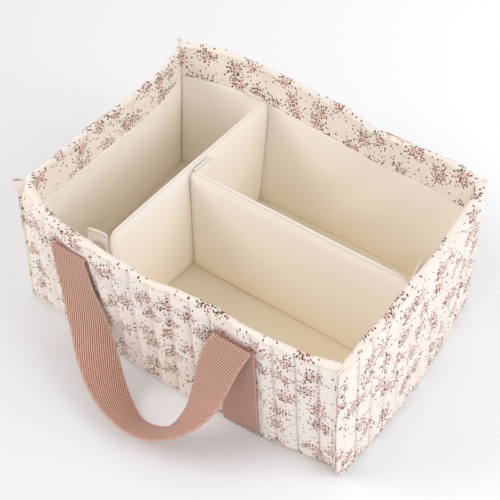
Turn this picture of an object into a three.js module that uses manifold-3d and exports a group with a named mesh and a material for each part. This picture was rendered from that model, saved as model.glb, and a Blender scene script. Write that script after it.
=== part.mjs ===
// A diaper caddy: a soft quilted tub with two padded dividers held by hook tabs, and two webbing handles.
// Millimetres, +Z up. The origin lies under the middle of the base, on the surface that the caddy stands on.
// X runs along the long walls, and the front wall is on the -Y side.

import * as THREE from 'three';
import * as BufferGeometryUtils from 'three/addons/utils/BufferGeometryUtils.js';
import Module from 'manifold-3d';

const wasm = await Module();
wasm.setup();

// Tub
const baseLength = 380;
const baseWidth = 256;
const tubHeight = 176;

// How far the rim of each wall leans in from its foot at both ends, or out where it is below zero
const frontLeanAtLeft = 2.9;
const frontLeanAtRight = -7.4;
const backLeanAtLeft = -1.6;
const backLeanAtRight = 1.7;
const leftLeanAtFront = 14.1;
const leftLeanAtBack = 7.2;
const rightLeanAtFront = 6.1;
const rightLeanAtBack = 8.5;

// How far each wall bows out of its straight line at the rim and at the base, how far that bow leans to one
// side, how much fuller its rim is towards both ends, and how far the middle of its rim sags
const frontRimBow = 23;
const frontRimSkew = 5;
const frontRimFullness = 4.7;
const frontBaseBow = 11.5;
const frontSag = 2.3;
const backRimBow = 13.9;
const backRimSkew = 5.8;
const backRimFullness = 4;
const backBaseBow = 3;
const backSag = -4;
const leftRimBow = -6.7;
const leftRimSkew = 4.5;
const leftRimFullness = -1.1;
const leftBaseBow = -3;
const leftSag = 0.4;
const rightRimBow = 6.9;
const rightRimSkew = -1.5;
const rightRimFullness = 0.8;
const rightBaseBow = 10.3;
const rightSag = 0;

// Wall layers, from the quilted outside to the lining
const layerGap = 0.3;
const quiltThickness = 2.5;
const quiltPuff = 2.4;
const quiltEase = 7;
const quiltRoundness = 0.7;
const hemEaseUpShare = 0.75;
const hemEaseFullShare = 0.75;
const channelWidth = 22;
const wallFoamThickness = 4.5;
const liningThickness = 1;
const facingThickness = 1.2;
const facingHeight = 36;
const hemDrop = 1;
const rimThinning = 3.5;

// Base layers
const basePanelThickness = 1.5;
const boardThickness = 1.2;
const baseFoamThickness = 1.8;

// Raised seams
const cornerSeamThickness = 2.6;
const cornerSeamGap = 0.8;
const cornerFinThickness = 5;
const cornerFinRoot = 0.5;
const cornerFinReach = 3;
const frontLeftEarRise = 5;
const frontRightEarRise = 1.5;
const backLeftEarRise = 4.5;
const backRightEarRise = 3;
const baseSeamReach = 5;
const baseSeamThickness = 1.2;

// The outline of a fin's ear, from its outer edge to the rim: shares of the fin's reach and of the ear's rise
const earShares = [
  { out: 1, up: -1 },
  { out: 0.8, up: 0.6 },
  { out: 0.3, up: 1 },
];
const earRootShare = 0.5;

// Webbing
const webbingWidth = 40;
const webbingThickness = 1.8;
const webbingFlatShare = 0.47;
const foldRadius = 2.2;
const foldBelowRim = 24;
const handleSpan = 183;
const frontHandleShift = -7.5;
const backHandleShift = -11.5;
const handleReach = 47.5;
const handleFloorClearance = 1.2;
const backFoldStandoff = 8.4;
const backFoldRise = 14;
const strapFlatMargin = 1;
const strapFlatEase = 4;

// The route of a hanging handle from its left fold to its right one: the share of the span, of the reach
// away from the wall and of the drop, and the way its width lies there: along, towards the wall, and up
const loopShares = [
  { across: 0, out: 0, down: 0, lie: [1, 0, 0] },
  { across: 0.036, out: 0.03, down: 0.318, lie: [0.95, 0.15, 0.26] },
  { across: 0.126, out: 0.2, down: 0.6, lie: [0.83, 0.5, 0.24] },
  { across: 0.2, out: 0.4, down: 0.756, lie: [0.63, 0.77, 0.1] },
  { across: 0.374, out: 0.79, down: 0.944, lie: [0.28, 0.89, -0.35] },
  { across: 0.552, out: 1, down: 1, lie: [0.07, 0.79, -0.62] },
  { across: 0.708, out: 0.93, down: 0.954, lie: [-0.02, 0.84, -0.54] },
  { across: 0.816, out: 0.64, down: 0.815, lie: [-0.47, 0.84, -0.28] },
  { across: 0.874, out: 0.32, down: 0.644, lie: [-0.86, 0.5, 0] },
  { across: 0.911, out: 0.11, down: 0.403, lie: [-0.98, 0.16, 0.12] },
  { across: 0.945, out: 0.035, down: 0.2, lie: [-0.97, 0.03, 0.2] },
  { across: 1, out: 0, down: 0, lie: [-1, 0, 0] },
];
const loopLowestLieShare = 0.31;
const loopSteps = 40;

// Dividers
const dividerThickness = 7;
const dividerCornerRadius = 10;
const dividerCoverThickness = 0.8;
const dividerBelowRim = 26;
const dividerEndClearance = 0.6;
const crossFrontX = -84;
const crossBackX = -70;
const crossFrontStandoff = 13;
const longLeftY = 0;
const longRightY = -0.7;
const longRightStandoff = 6;

// Tabs. Two of them aren't pressed on the wall, and their free edges lean towards it or away from it.
const crossTabWidth = 21.5;
const longTabWidth = 26;
const crossFrontTabLean = 3.3;
const longRightTabLean = -3.2;
const tabThickness = 1.8;
const tabRootGap = 0.4;
const tabBelowTop = 3;
const tabAboveBottom = 4;
const tabCornerRadius = 3;
const hookTapeThickness = 1;
const hookTapeMargin = 4;
const hookTapeTopMargin = 16;
const hookTapeCornerRadius = 1;
const cutOverrun = 5;

// Counts of facets
const channelSteps = 4;
const outlineSteps = 12;
const rimSteps = 4;
const roundSteps = 12;
const cornerSteps = 4;
const strapSteps = 4;
const longWallSteps = 48;
const shortWallSteps = 30;
const layerRows = 5;

// Depths into a wall from the line of its quilting stitches
const foamFront = quiltThickness + layerGap;
const foamBack = foamFront + wallFoamThickness;
const liningFront = foamBack + layerGap;
const liningBack = liningFront + liningThickness;
const facingFront = liningBack + layerGap;
const wallThickness = facingFront + facingThickness;
const hemTongueDepth = facingThickness + layerGap;
const endTrim = (cornerSeamThickness / 2 + cornerSeamGap) * Math.SQRT2;

// Heights in the base
const seamFoot = basePanelThickness + layerGap;
const seamTop = seamFoot + boardThickness;
const wallFoot = seamTop + layerGap;
const baseFoamTop = wallFoot + baseFoamThickness;
const liningFoot = baseFoamTop + layerGap;
const floorHeight = liningFoot + liningThickness;

// Heights in the walls
const rimThickness = wallThickness - rimThinning;
const rimRadius = rimThickness / 2;
const rimCentre = tubHeight - rimRadius;
const layerTop = rimCentre - layerGap;
const hemLine = rimCentre - hemDrop;
const facingFoot = tubHeight - facingHeight;
const foldHeight = tubHeight - foldBelowRim;
const dividerFoot = floorHeight + layerGap;
const dividerTop = tubHeight - dividerBelowRim;

const floralCotton = new THREE.MeshStandardMaterial({ color: 0xf1e4da, roughness: 0.9, metalness: 0 });
const liningCotton = new THREE.MeshStandardMaterial({ color: 0xe8dac6, roughness: 0.9, metalness: 0 });
const webbing = new THREE.MeshStandardMaterial({ color: 0xc2917f, roughness: 0.8, metalness: 0 });
const foam = new THREE.MeshStandardMaterial({ color: 0xf4f1e6, roughness: 1, metalness: 0 });
const board = new THREE.MeshStandardMaterial({ color: 0xb9ab96, roughness: 0.95, metalness: 0 });
const hookTape = new THREE.MeshStandardMaterial({ color: 0xf2efe8, roughness: 0.85, metalness: 0 });

const walls = {
  front: {
    along: 'x',
    side: -1,
    leans: [frontLeanAtLeft, frontLeanAtRight],
    rimBow: frontRimBow,
    rimSkew: frontRimSkew,
    rimFullness: frontRimFullness,
    baseBow: frontBaseBow,
    sag: frontSag,
    handleShift: frontHandleShift,
  },
  back: {
    along: 'x',
    side: 1,
    leans: [backLeanAtLeft, backLeanAtRight],
    rimBow: backRimBow,
    rimSkew: backRimSkew,
    rimFullness: backRimFullness,
    baseBow: backBaseBow,
    sag: backSag,
    handleShift: backHandleShift,
  },
  left: {
    along: 'y',
    side: -1,
    leans: [leftLeanAtFront, leftLeanAtBack],
    rimBow: leftRimBow,
    rimSkew: leftRimSkew,
    rimFullness: leftRimFullness,
    baseBow: leftBaseBow,
    sag: leftSag,
  },
  right: {
    along: 'y',
    side: 1,
    leans: [rightLeanAtFront, rightLeanAtBack],
    rimBow: rightRimBow,
    rimSkew: rightRimSkew,
    rimFullness: rightRimFullness,
    baseBow: rightBaseBow,
    sag: rightSag,
  },
};

const mix = THREE.MathUtils.lerp;

function steps(count) {
  return Array.from({ length: count + 1 }, (_, i) => i / count);
}

// How far the straight line of a wall lies from the middle of the tub, at a share of its run
function lineAt(wall, height, share) {
  const foot = (wall.along === 'x' ? baseWidth : baseLength) / 2;
  return foot - mix(...wall.leans, share) * (height / tubHeight);
}

// Where the run of a wall starts and ends at a height and a depth, at the mitres of its corners
function runEnds(wall, height, depth) {
  const [low, high] = wall.along === 'x' ? [walls.left, walls.right] : [walls.front, walls.back];
  const end = wall.side < 0 ? 0 : 1;
  return [depth - lineAt(low, height, end), lineAt(high, height, end) - depth];
}

// How far a wall's face lies from the middle of the tub, at a place along its run
function reachAt(wall, run, height, depth) {
  const [start, end] = runEnds(wall, height, depth);
  const share = (run - start) / (end - start);
  const turn = Math.PI * share;
  const rise = height / tubHeight;
  const bow = mix(wall.baseBow, wall.rimBow, rise) * Math.sin(turn);
  const skew = wall.rimSkew * rise * Math.sin(2 * turn);
  const fullness = wall.rimFullness * rise * Math.sin(3 * turn);
  return lineAt(wall, height, share) + bow + skew + fullness - depth;
}

function placeOnWall(wall, run, reach, height) {
  if (wall.along === 'x') {
    return new THREE.Vector3(run, wall.side * reach, height);
  }
  return new THREE.Vector3(wall.side * reach, run, height);
}

// A point in a wall's layers: its share of the run, its height and its depth
function wallPoint(wall, share, height, depth, trim) {
  const [start, end] = runEnds(wall, height, depth);
  const run = mix(start + trim, end - trim, share);
  const rise = height / tubHeight;
  const drop = wall.sag * Math.sin(Math.PI * share) * rise * rise;
  return placeOnWall(wall, run, reachAt(wall, run, height, depth), height - drop);
}

function cornerPoint(sideX, sideY, height) {
  const sideWall = sideX < 0 ? walls.left : walls.right;
  const longWall = sideY < 0 ? walls.front : walls.back;
  const x = sideX * lineAt(sideWall, height, sideY < 0 ? 0 : 1);
  const y = sideY * lineAt(longWall, height, sideX < 0 ? 0 : 1);
  return new THREE.Vector3(x, y, height);
}

// The layers behind the quilting are drawn outwards to a thin rim, from the foot of the facing up
function layerDepth(depth, height) {
  if (depth <= foamFront) {
    return depth;
  }
  const share = (height - facingFoot) / (rimCentre - facingFoot);
  return depth - rimThinning * Math.max(0, share);
}

// A flat cap over a closed outline in space
function capFaces(ring, first, faces) {
  const normal = new THREE.Vector3();
  ring.forEach((point, i) => {
    const next = ring[(i + 1) % ring.length];
    normal.add(new THREE.Vector3().crossVectors(point, next));
  });
  normal.normalize();
  const helper = Math.abs(normal.z) < 0.9 ? new THREE.Vector3(0, 0, 1) : new THREE.Vector3(1, 0, 0);
  const across = new THREE.Vector3().crossVectors(helper, normal).normalize();
  const up = new THREE.Vector3().crossVectors(normal, across);
  const flat = ring.map((point) => new THREE.Vector2(point.dot(across), point.dot(up)));
  THREE.ShapeUtils.triangulateShape(flat, []).forEach(([a, b, c]) => {
    faces.push([first + a, first + b, first + c]);
  });
}

// A cap over a closed outline whose second half runs back beside its first half
function ladderFaces(ring, first, faces) {
  for (let i = 0; i < ring.length / 2 - 1; i += 1) {
    const j = ring.length - 1 - i;
    faces.push([first + i, first + i + 1, first + j]);
    faces.push([first + i + 1, first + j - 1, first + j]);
  }
}

// Skins a row of matching closed outlines. The two ends are capped, unless the row closes on itself.
function loft(rings, closesOnItself = false, cap = capFaces) {
  const count = rings[0].length;
  const points = rings.flat();
  const faces = [];
  const rows = closesOnItself ? rings.length : rings.length - 1;
  for (let row = 0; row < rows; row += 1) {
    const next = (row + 1) % rings.length;
    for (let i = 0; i < count; i += 1) {
      const j = (i + 1) % count;
      faces.push([row * count + i, row * count + j, next * count + j]);
      faces.push([row * count + i, next * count + j, next * count + i]);
    }
  }
  if (!closesOnItself) {
    const startCap = [];
    const endCap = [];
    cap(rings[0], 0, startCap);
    cap(rings[rings.length - 1], (rings.length - 1) * count, endCap);
    startCap.forEach(([a, b, c]) => faces.push([a, c, b]));
    endCap.forEach((face) => faces.push(face));
  }
  return solidFrom(points, faces);
}

// A closed mesh from points and faces, turned so that its faces point outwards
function solidFrom(points, faces) {
  let volume = 0;
  faces.forEach(([a, b, c]) => {
    volume += points[a].dot(new THREE.Vector3().crossVectors(points[b], points[c]));
  });
  const index = faces.flatMap(([a, b, c]) => (volume > 0 ? [a, b, c] : [a, c, b]));
  const places = points.flatMap((point) => [point.x, point.y, point.z]);
  const geometry = new THREE.BufferGeometry();
  geometry.setAttribute('position', new THREE.Float32BufferAttribute(places, 3));
  geometry.setIndex(index);
  geometry.computeVertexNormals();
  return geometry;
}

function toManifold(geometry) {
  const bare = geometry.clone();
  bare.deleteAttribute('normal');
  bare.deleteAttribute('uv');
  const merged = BufferGeometryUtils.mergeVertices(bare);
  return new wasm.Manifold(new wasm.Mesh({
    numProp: 3,
    vertProperties: new Float32Array(merged.attributes.position.array),
    triVerts: new Uint32Array(merged.index.array),
  }));
}

function fromManifold(solid) {
  const mesh = solid.getMesh();
  const geometry = new THREE.BufferGeometry();
  geometry.setAttribute('position', new THREE.BufferAttribute(new Float32Array(mesh.vertProperties), 3));
  geometry.setIndex(new THREE.BufferAttribute(new Uint32Array(mesh.triVerts), 1));
  geometry.computeVertexNormals();
  return geometry;
}

function cut(body, tool) {
  return fromManifold(toManifold(body).subtract(toManifold(tool)));
}

function join(first, ...others) {
  const whole = others.reduce((solid, other) => solid.add(toManifold(other)), toManifold(first));
  return fromManifold(whole);
}

// Where the webbing meets a long wall, along its run
function strapCentres(wall) {
  return [wall.handleShift - handleSpan / 2, wall.handleShift + handleSpan / 2];
}

// The shares of a long wall's run, to both sides of each webbing strap, at a margin from its edges. The wall's
// ends lean, so each edge is taken at the height where the wall's columns come nearest to it.
function sharesBesideStraps(wall, margin) {
  return strapCentres(wall).flatMap((centre) => [-1, 1].map((side) => {
    const edge = centre + side * (webbingWidth / 2 + margin);
    const shares = [wallFoot, foldHeight].map((height) => {
      const [start, end] = runEnds(wall, height, endTrim);
      return (edge - start) / (end - start);
    });
    return side < 0 ? Math.min(...shares) : Math.max(...shares);
  }));
}

// How much of its full puff a channel keeps near the webbing, which is sewn down flat on the quilting
function puffBesideStraps(flat, full, share) {
  const [a, b, c, d] = flat;
  if ((share >= a && share <= b) || (share >= c && share <= d)) {
    return 0;
  }
  return Math.min(1, ...flat.map((edge, i) => Math.abs(share - edge) / Math.abs(full[i] - edge)));
}

function channelCount(wall) {
  const [start, end] = runEnds(wall, 0, 0);
  return Math.round((end - start) / channelWidth);
}

// The heights at which the layers of a wall have a row of points
function layerHeights(foot, top) {
  return [...steps(layerRows - 1).map((share) => mix(foot, facingFoot, share)), top];
}

// The shares of a wall's run at which its quilting has a stitch line or a facet of a channel
function quiltShares(wall, edges) {
  const columns = channelCount(wall) * channelSteps;
  const near = 1 / (columns * channelSteps);
  const plain = steps(columns).filter((share) => edges.every((edge) => Math.abs(edge - share) > near));
  return [...plain, ...edges].sort((a, b) => a - b);
}

// A quilted outer panel: sewn channels that puff out, drawn flat at the base seam, under the webbing and
// at the hem, where a thin tongue runs up inside the facing
function quiltedPanel(wall) {
  const channels = channelCount(wall);
  const flat = wall.along === 'x' ? sharesBesideStraps(wall, strapFlatMargin) : [];
  const full = wall.along === 'x' ? sharesBesideStraps(wall, strapFlatMargin + strapFlatEase) : [];
  const easeFoot = foldHeight + strapFlatEase;
  const back = layerHeights(wallFoot, layerTop).toReversed();
  const rows = [
    { height: wallFoot, fullness: 0 },
    ...steps(layerRows).map((share) => (
      { height: mix(wallFoot + quiltEase, easeFoot, share), fullness: 1 }
    )),
    { height: mix(easeFoot, hemLine - layerGap, hemEaseUpShare), fullness: hemEaseFullShare },
    { height: hemLine - layerGap, fullness: 0 },
  ];
  const rings = quiltShares(wall, [...flat, ...full]).map((share) => {
    const swell = Math.abs(Math.sin(Math.PI * channels * share)) ** quiltRoundness;
    const beside = wall.along === 'x' ? puffBesideStraps(flat, full, share) : 1;
    const outside = rows.map(({ height, fullness }) => {
      const drawn = height > easeFoot ? 1 : beside;
      return wallPoint(wall, share, height, -quiltPuff * swell * fullness * drawn, endTrim);
    });
    return [
      ...outside,
      wallPoint(wall, share, hemLine - layerGap, hemTongueDepth, endTrim),
      wallPoint(wall, share, layerTop, hemTongueDepth, endTrim),
      ...back.map((height) => wallPoint(wall, share, height, quiltThickness, endTrim)),
    ];
  });
  return loft(rings);
}

function wallSteps(wall) {
  return steps(wall.along === 'x' ? longWallSteps : shortWallSteps);
}

// A layer inside a wall, between two depths and two heights
function wallLayer(wall, front, back, foot, top) {
  const heights = layerHeights(foot, top);
  const place = (share, height, depth) => (
    wallPoint(wall, share, height, layerDepth(depth, height), endTrim)
  );
  const rings = wallSteps(wall).map((share) => [
    ...heights.map((height) => place(share, height, front)),
    ...heights.toReversed().map((height) => place(share, height, back)),
  ]);
  return loft(rings, false, ladderFaces);
}

// The printed band that turns over the rim: a short leg outside down to the hem line, a long leg inside
function facing(wall) {
  const arc = (radius, share) => {
    const turn = Math.PI * share;
    return [rimRadius - radius * Math.cos(turn), rimCentre + radius * Math.sin(turn)];
  };
  const outline = [
    [0, hemLine],
    ...steps(rimSteps).map((share) => arc(rimRadius, share)),
    [wallThickness, facingFoot],
    [facingFront, facingFoot],
    ...steps(rimSteps).map((share) => arc(rimRadius - facingThickness, 1 - share)),
    [facingThickness, hemLine],
  ];
  return loft(wallSteps(wall).map((share) => (
    outline.map(([depth, height]) => wallPoint(wall, share, height, depth, endTrim))
  )));
}

// A plate that stands in the diagonal of a corner. Its outline has reaches out of the corner, and heights.
function cornerPlate(sideX, sideY, outline, thickness) {
  const outward = new THREE.Vector3(sideX, sideY, 0).normalize();
  const across = new THREE.Vector3(-sideY, sideX, 0).normalize();
  return loft([-1, 1].map((face) => outline.map(([reach, height]) => (
    cornerPoint(sideX, sideY, height)
      .addScaledVector(outward, reach)
      .addScaledVector(across, (face * thickness) / 2)
  ))));
}

// The sewn edge at a corner: flush with the lining inside, a thicker fin outside, and an ear over the rim
function cornerSeam(sideX, sideY, earRise) {
  const inward = (depth) => -depth * Math.SQRT2;
  const ear = earShares.map(({ out, up }) => [cornerFinReach * out, tubHeight + earRise * up]);
  const fin = [[cornerFinRoot, wallFoot], [cornerFinReach, wallFoot], ...ear, [cornerFinRoot, tubHeight]];
  const finMiddle = (cornerFinRoot + cornerFinReach) / 2;
  const web = [
    [inward(foamBack), wallFoot],
    [finMiddle, wallFoot],
    [finMiddle, tubHeight],
    [inward(facingThickness), tubHeight + earRise * earRootShare],
    [inward(rimRadius), tubHeight],
    [inward(rimThickness - facingThickness), tubHeight - facingThickness],
    [inward(rimThickness), rimCentre],
    [inward(wallThickness), facingFoot],
    [inward(liningBack), facingFoot],
    [inward(liningBack), liningFoot],
    [inward(foamBack), liningFoot],
  ];
  return join(
    cornerPlate(sideX, sideY, web, cornerSeamThickness),
    cornerPlate(sideX, sideY, fin, cornerFinThickness),
  );
}

// The outline of the tub at a height and a depth, once round
function tubOutline(height, depth) {
  const shares = steps(outlineSteps).slice(0, -1);
  return [
    ...shares.map((share) => wallPoint(walls.front, share, height, depth, 0)),
    ...shares.map((share) => wallPoint(walls.right, share, height, depth, 0)),
    ...shares.map((share) => wallPoint(walls.back, 1 - share, height, depth, 0)),
    ...shares.map((share) => wallPoint(walls.left, 1 - share, height, depth, 0)),
  ];
}

function baseSlab(foot, top, depth) {
  return loft([tubOutline(foot, depth), tubOutline(top, depth)]);
}

// The fin round the foot of the tub, where the walls are sewn to the base
function baseSeam() {
  const outside = tubOutline(seamFoot, -baseSeamReach);
  const inside = tubOutline(seamFoot, quiltThickness);
  const raise = new THREE.Vector3(0, 0, baseSeamThickness);
  const rings = outside.map((point, i) => [
    point,
    point.clone().add(raise),
    inside[i].clone().add(raise),
    inside[i],
  ]);
  return loft(rings, true);
}

// The line of a handle's folds: how far it lies from the middle, clear of the wall at both of them
function foldReach(wall, standoff) {
  const reaches = strapCentres(wall).flatMap((centre) => steps(strapSteps).map((share) => (
    reachAt(wall, centre + mix(-0.5, 0.5, share) * webbingWidth, foldHeight, 0)
  )));
  return Math.max(...reaches) + standoff;
}

// The webbing sewn to a long wall, up to its fold. Where the fold stands off, the webbing arches out to it.
function wallStrap(wall, centre, standoff) {
  const lie = layerGap + webbingThickness / 2;
  const arched = standoff > foldRadius + layerGap;
  const archFoot = foldHeight - backFoldRise;
  const archEnd = standoff - foldRadius - layerGap;
  const flatTop = arched ? archFoot : foldHeight - foldRadius - layerGap;
  const route = steps(layerRows).map((share) => ({ out: lie, height: mix(wallFoot, flatTop, share), tilt: 0 }));
  if (arched) {
    steps(cornerSteps).slice(1).forEach((share) => {
      const turn = (Math.PI / 2) * share;
      route.push({
        out: archEnd - (archEnd - lie) * Math.cos(turn),
        height: archFoot + backFoldRise * Math.sin(turn),
        tilt: turn,
      });
    });
  }
  const rings = route.map(({ out, height, tilt }) => [-1, 1].flatMap((face) => {
    const away = (face * webbingThickness) / 2;
    const row = steps(strapSteps).map((share) => {
      const run = centre + mix(-0.5, 0.5, share) * webbingWidth;
      const reach = reachAt(wall, run, height, 0) + out + away * Math.cos(tilt);
      return placeOnWall(wall, run, reach, height - away * Math.sin(tilt));
    });
    return face < 0 ? row : row.reverse();
  }));
  return loft(rings);
}

// The free loop of a handle, which hangs and twists from its two folds. Each fold is a small roll about
// the line that the handle turns on.
function handleLoop(wall, standoff) {
  const axisReach = foldReach(wall, standoff);
  const startReach = axisReach + foldRadius - webbingThickness / 2;
  const lowest = handleFloorClearance + loopLowestLieShare * webbingWidth;
  const place = ({ across, out, down }) => new THREE.Vector3(
    (across - 0.5) * handleSpan,
    -startReach - out * handleReach,
    foldHeight - down * (foldHeight - lowest),
  );
  const centres = new THREE.CatmullRomCurve3(loopShares.map(place), false, 'centripetal');
  const lies = new THREE.CatmullRomCurve3(loopShares.map(({ lie }) => new THREE.Vector3(...lie)));
  const flat = webbingFlatShare;
  const section = [[-0.5, 0], [-flat, 0.5], [flat, 0.5], [0.5, 0], [flat, -0.5], [-flat, -0.5]];
  const rings = steps(loopSteps).map((share) => {
    const centre = centres.getPoint(share);
    const lie = lies.getPoint(share).normalize();
    const face = new THREE.Vector3().crossVectors(centres.getTangent(share), lie).normalize();
    return section.map(([wide, thick]) => centre.clone()
      .addScaledVector(lie, wide * webbingWidth)
      .addScaledVector(face, thick * webbingThickness));
  });
  const folds = [-0.5, 0.5].map((end) => {
    const roll = new THREE.CylinderGeometry(foldRadius, foldRadius, webbingWidth, roundSteps);
    roll.rotateZ(Math.PI / 2);
    roll.translate(end * handleSpan, -axisReach, foldHeight);
    return roll;
  });
  const loop = join(loft(rings), ...folds);
  if (wall.side > 0) {
    loop.rotateZ(Math.PI);
  }
  loop.translate(wall.handleShift, 0, 0);
  return loop;
}

// How far a wall's inner face lies from the middle, taking the narrowest place from there up to the rim,
// so that what stands against the wall can be lifted out
function innerReach(wall, run, height, clearance) {
  const depth = wallThickness + clearance;
  return Math.min(
    reachAt(wall, run, height, depth),
    reachAt(wall, run, facingFoot, depth),
    reachAt(wall, run, tubHeight, depth - rimThinning),
  );
}

// The cross divider stands across the tub, from the front wall to the back wall
function crossCentreX(y) {
  return mix(crossFrontX, crossBackX, y / baseWidth + 0.5);
}

const crossDivider = {
  place: (run, aside, height) => new THREE.Vector3(crossCentreX(run) + aside, run, height),
  start: (aside) => -innerReach(walls.front, crossFrontX + aside, dividerFoot, crossFrontStandoff),
  end: (aside, height) => innerReach(walls.back, crossBackX + aside, height, dividerEndClearance),
};

// The long divider runs from the cross divider to the right wall
function longCentreY(x) {
  return mix(longLeftY, longRightY, x / baseLength + 0.5);
}

function crossRightFace(y, clearance) {
  return crossCentreX(y) + dividerThickness / 2 + clearance;
}

const longDivider = {
  place: (run, aside, height) => new THREE.Vector3(run, longCentreY(run) + aside, height),
  start: (aside) => crossRightFace(longLeftY + aside, dividerEndClearance),
  end: (aside) => innerReach(walls.right, longRightY + aside, dividerFoot, longRightStandoff),
};

// A divider's padded board, drawn in all round by an inset, with a folded top edge and rounded top corners
function dividerBoard(divider, inset, foot) {
  const half = dividerThickness / 2 - inset;
  const radius = dividerCornerRadius - inset;
  const corner = steps(cornerSteps).map((share) => {
    const turn = (Math.PI / 2) * share;
    return { along: radius * (1 - Math.cos(turn)), drop: radius * (1 - Math.sin(turn)) };
  });
  const ring = ({ along, drop }, atStart) => {
    const shoulder = dividerTop - inset - drop - half;
    const outline = [
      [-half, foot],
      ...steps(rimSteps).map((share) => {
        const turn = Math.PI * share;
        return [-half * Math.cos(turn), shoulder + half * Math.sin(turn)];
      }),
      [half, foot],
    ];
    return outline.map(([aside, height]) => {
      const run = atStart
        ? divider.start(aside, height) + inset + along
        : divider.end(aside, height) - inset - along;
      return divider.place(run, aside, height);
    });
  };
  const startRings = corner.map((step) => ring(step, true));
  const endRings = corner.toReversed().map((step) => ring(step, false));
  return loft([...startRings, ...endRings]);
}

function dividerCover(divider) {
  const outside = dividerBoard(divider, 0, dividerFoot);
  const pocket = dividerBoard(divider, dividerCoverThickness, dividerFoot - cutOverrun);
  return cut(outside, pocket);
}

function dividerFoam(divider) {
  return dividerBoard(divider, dividerCoverThickness + layerGap, dividerFoot);
}

// A flap of cloth that lies on a face of the tub or of a divider. Its run starts at the fold.
function flap(onFace, start, end, near, far, foot, top, radius) {
  const length = Math.abs(end - start);
  const rounded = steps(cornerSteps).map((share) => {
    const turn = (Math.PI / 2) * share;
    return { along: length - radius * (1 - Math.sin(turn)), drop: radius * (1 - Math.cos(turn)) };
  });
  const stations = [{ along: 0, drop: 0 }, { along: length / 2 - radius / 2, drop: 0 }, ...rounded];
  return loft(stations.map(({ along, drop }) => {
    const run = start + Math.sign(end - start) * along;
    return [
      onFace(run, foot + drop, near),
      onFace(run, top - drop, near),
      onFace(run, top - drop, far),
      onFace(run, foot + drop, far),
    ];
  }));
}

function onWall(wall) {
  return (run, height, clearance) => placeOnWall(wall, run, innerReach(wall, run, height, clearance), height);
}

function onCrossDivider(run, height, clearance) {
  return new THREE.Vector3(crossRightFace(run, clearance), run, height);
}

// A tab folds off a divider's end onto the face beside it, with hook tape between
const tabFoot = dividerFoot + tabAboveBottom;
const tabTop = dividerTop - tabBelowTop;
const tapeNear = layerGap;
const tapeFar = tapeNear + hookTapeThickness;
const tabNear = tapeFar + layerGap;
const tabFar = tabNear + tabThickness;

// The line of a tab that isn't pressed on the wall. It starts at its divider's end, and leans from there.
function besideEnd(wall, fold, end, width, lean) {
  return (run, height, clearance) => {
    const away = Math.abs(run - fold) / width;
    return placeOnWall(wall, run, end + tabNear + lean * away - clearance, height);
  };
}

function leftFaceNear(...places) {
  return Math.min(...places.map(crossCentreX)) - dividerThickness / 2;
}

const crossFrontEnd = -crossDivider.start(0);
const crossFrontFold = leftFaceNear(-crossFrontEnd);
const crossBackFold = leftFaceNear(...[tabFoot, tabTop].map((height) => (
  innerReach(walls.back, crossBackX, height, tabFar)
)));
const longRightEnd = longDivider.end(0);
const longRightFold = longRightY + dividerThickness / 2;

const tabs = {
  cross_divider_front: {
    onFace: besideEnd(walls.front, crossFrontFold, crossFrontEnd, crossTabWidth, crossFrontTabLean),
    fold: crossFrontFold,
    way: -1,
    width: crossTabWidth,
  },
  cross_divider_back: {
    onFace: onWall(walls.back),
    fold: crossBackFold,
    way: -1,
    width: crossTabWidth,
  },
  long_divider_left: {
    onFace: onCrossDivider,
    fold: longLeftY + dividerThickness / 2,
    way: 1,
    width: longTabWidth,
  },
  long_divider_right: {
    onFace: besideEnd(walls.right, longRightFold, longRightEnd, longTabWidth, longRightTabLean),
    fold: longRightFold,
    way: 1,
    width: longTabWidth,
  },
};

function tab({ onFace, fold, way, width }) {
  const root = fold + way * tabRootGap;
  return flap(onFace, root, root + way * width, tabNear, tabFar, tabFoot, tabTop, tabCornerRadius);
}

function tape({ onFace, fold, way, width }) {
  const start = fold + way * (tabRootGap + hookTapeMargin);
  const length = width - 2 * hookTapeMargin;
  const foot = tabFoot + hookTapeMargin;
  const top = tabTop - hookTapeTopMargin;
  return flap(onFace, start, start + way * length, tapeNear, tapeFar, foot, top, hookTapeCornerRadius);
}

function piece(name, geometry, material) {
  const mesh = new THREE.Mesh(geometry, material);
  mesh.name = name;
  return mesh;
}

const tub = new THREE.Group();
tub.add(piece('outer_base_panel', baseSlab(0, basePanelThickness, 0), floralCotton));
tub.add(piece('base_board', baseSlab(seamFoot, seamTop, foamFront), board));
tub.add(piece('base_foam', baseSlab(wallFoot, baseFoamTop, liningFront), foam));
tub.add(piece('base_lining', baseSlab(liningFoot, floorHeight, facingFront), liningCotton));
tub.add(piece('base_seam', baseSeam(), floralCotton));
Object.entries(walls).forEach(([name, wall]) => {
  const foamLayer = wallLayer(wall, foamFront, foamBack, wallFoot, layerTop);
  const liningLayer = wallLayer(wall, liningFront, liningBack, liningFoot, layerTop);
  tub.add(piece(`outer_${name}_panel`, quiltedPanel(wall), floralCotton));
  tub.add(piece(`${name}_foam`, foamLayer, foam));
  tub.add(piece(`${name}_lining`, liningLayer, liningCotton));
  tub.add(piece(`${name}_facing`, facing(wall), floralCotton));
});
tub.add(piece('front_left_corner_seam', cornerSeam(-1, -1, frontLeftEarRise), floralCotton));
tub.add(piece('front_right_corner_seam', cornerSeam(1, -1, frontRightEarRise), floralCotton));
tub.add(piece('back_left_corner_seam', cornerSeam(-1, 1, backLeftEarRise), floralCotton));
tub.add(piece('back_right_corner_seam', cornerSeam(1, 1, backRightEarRise), floralCotton));

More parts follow.
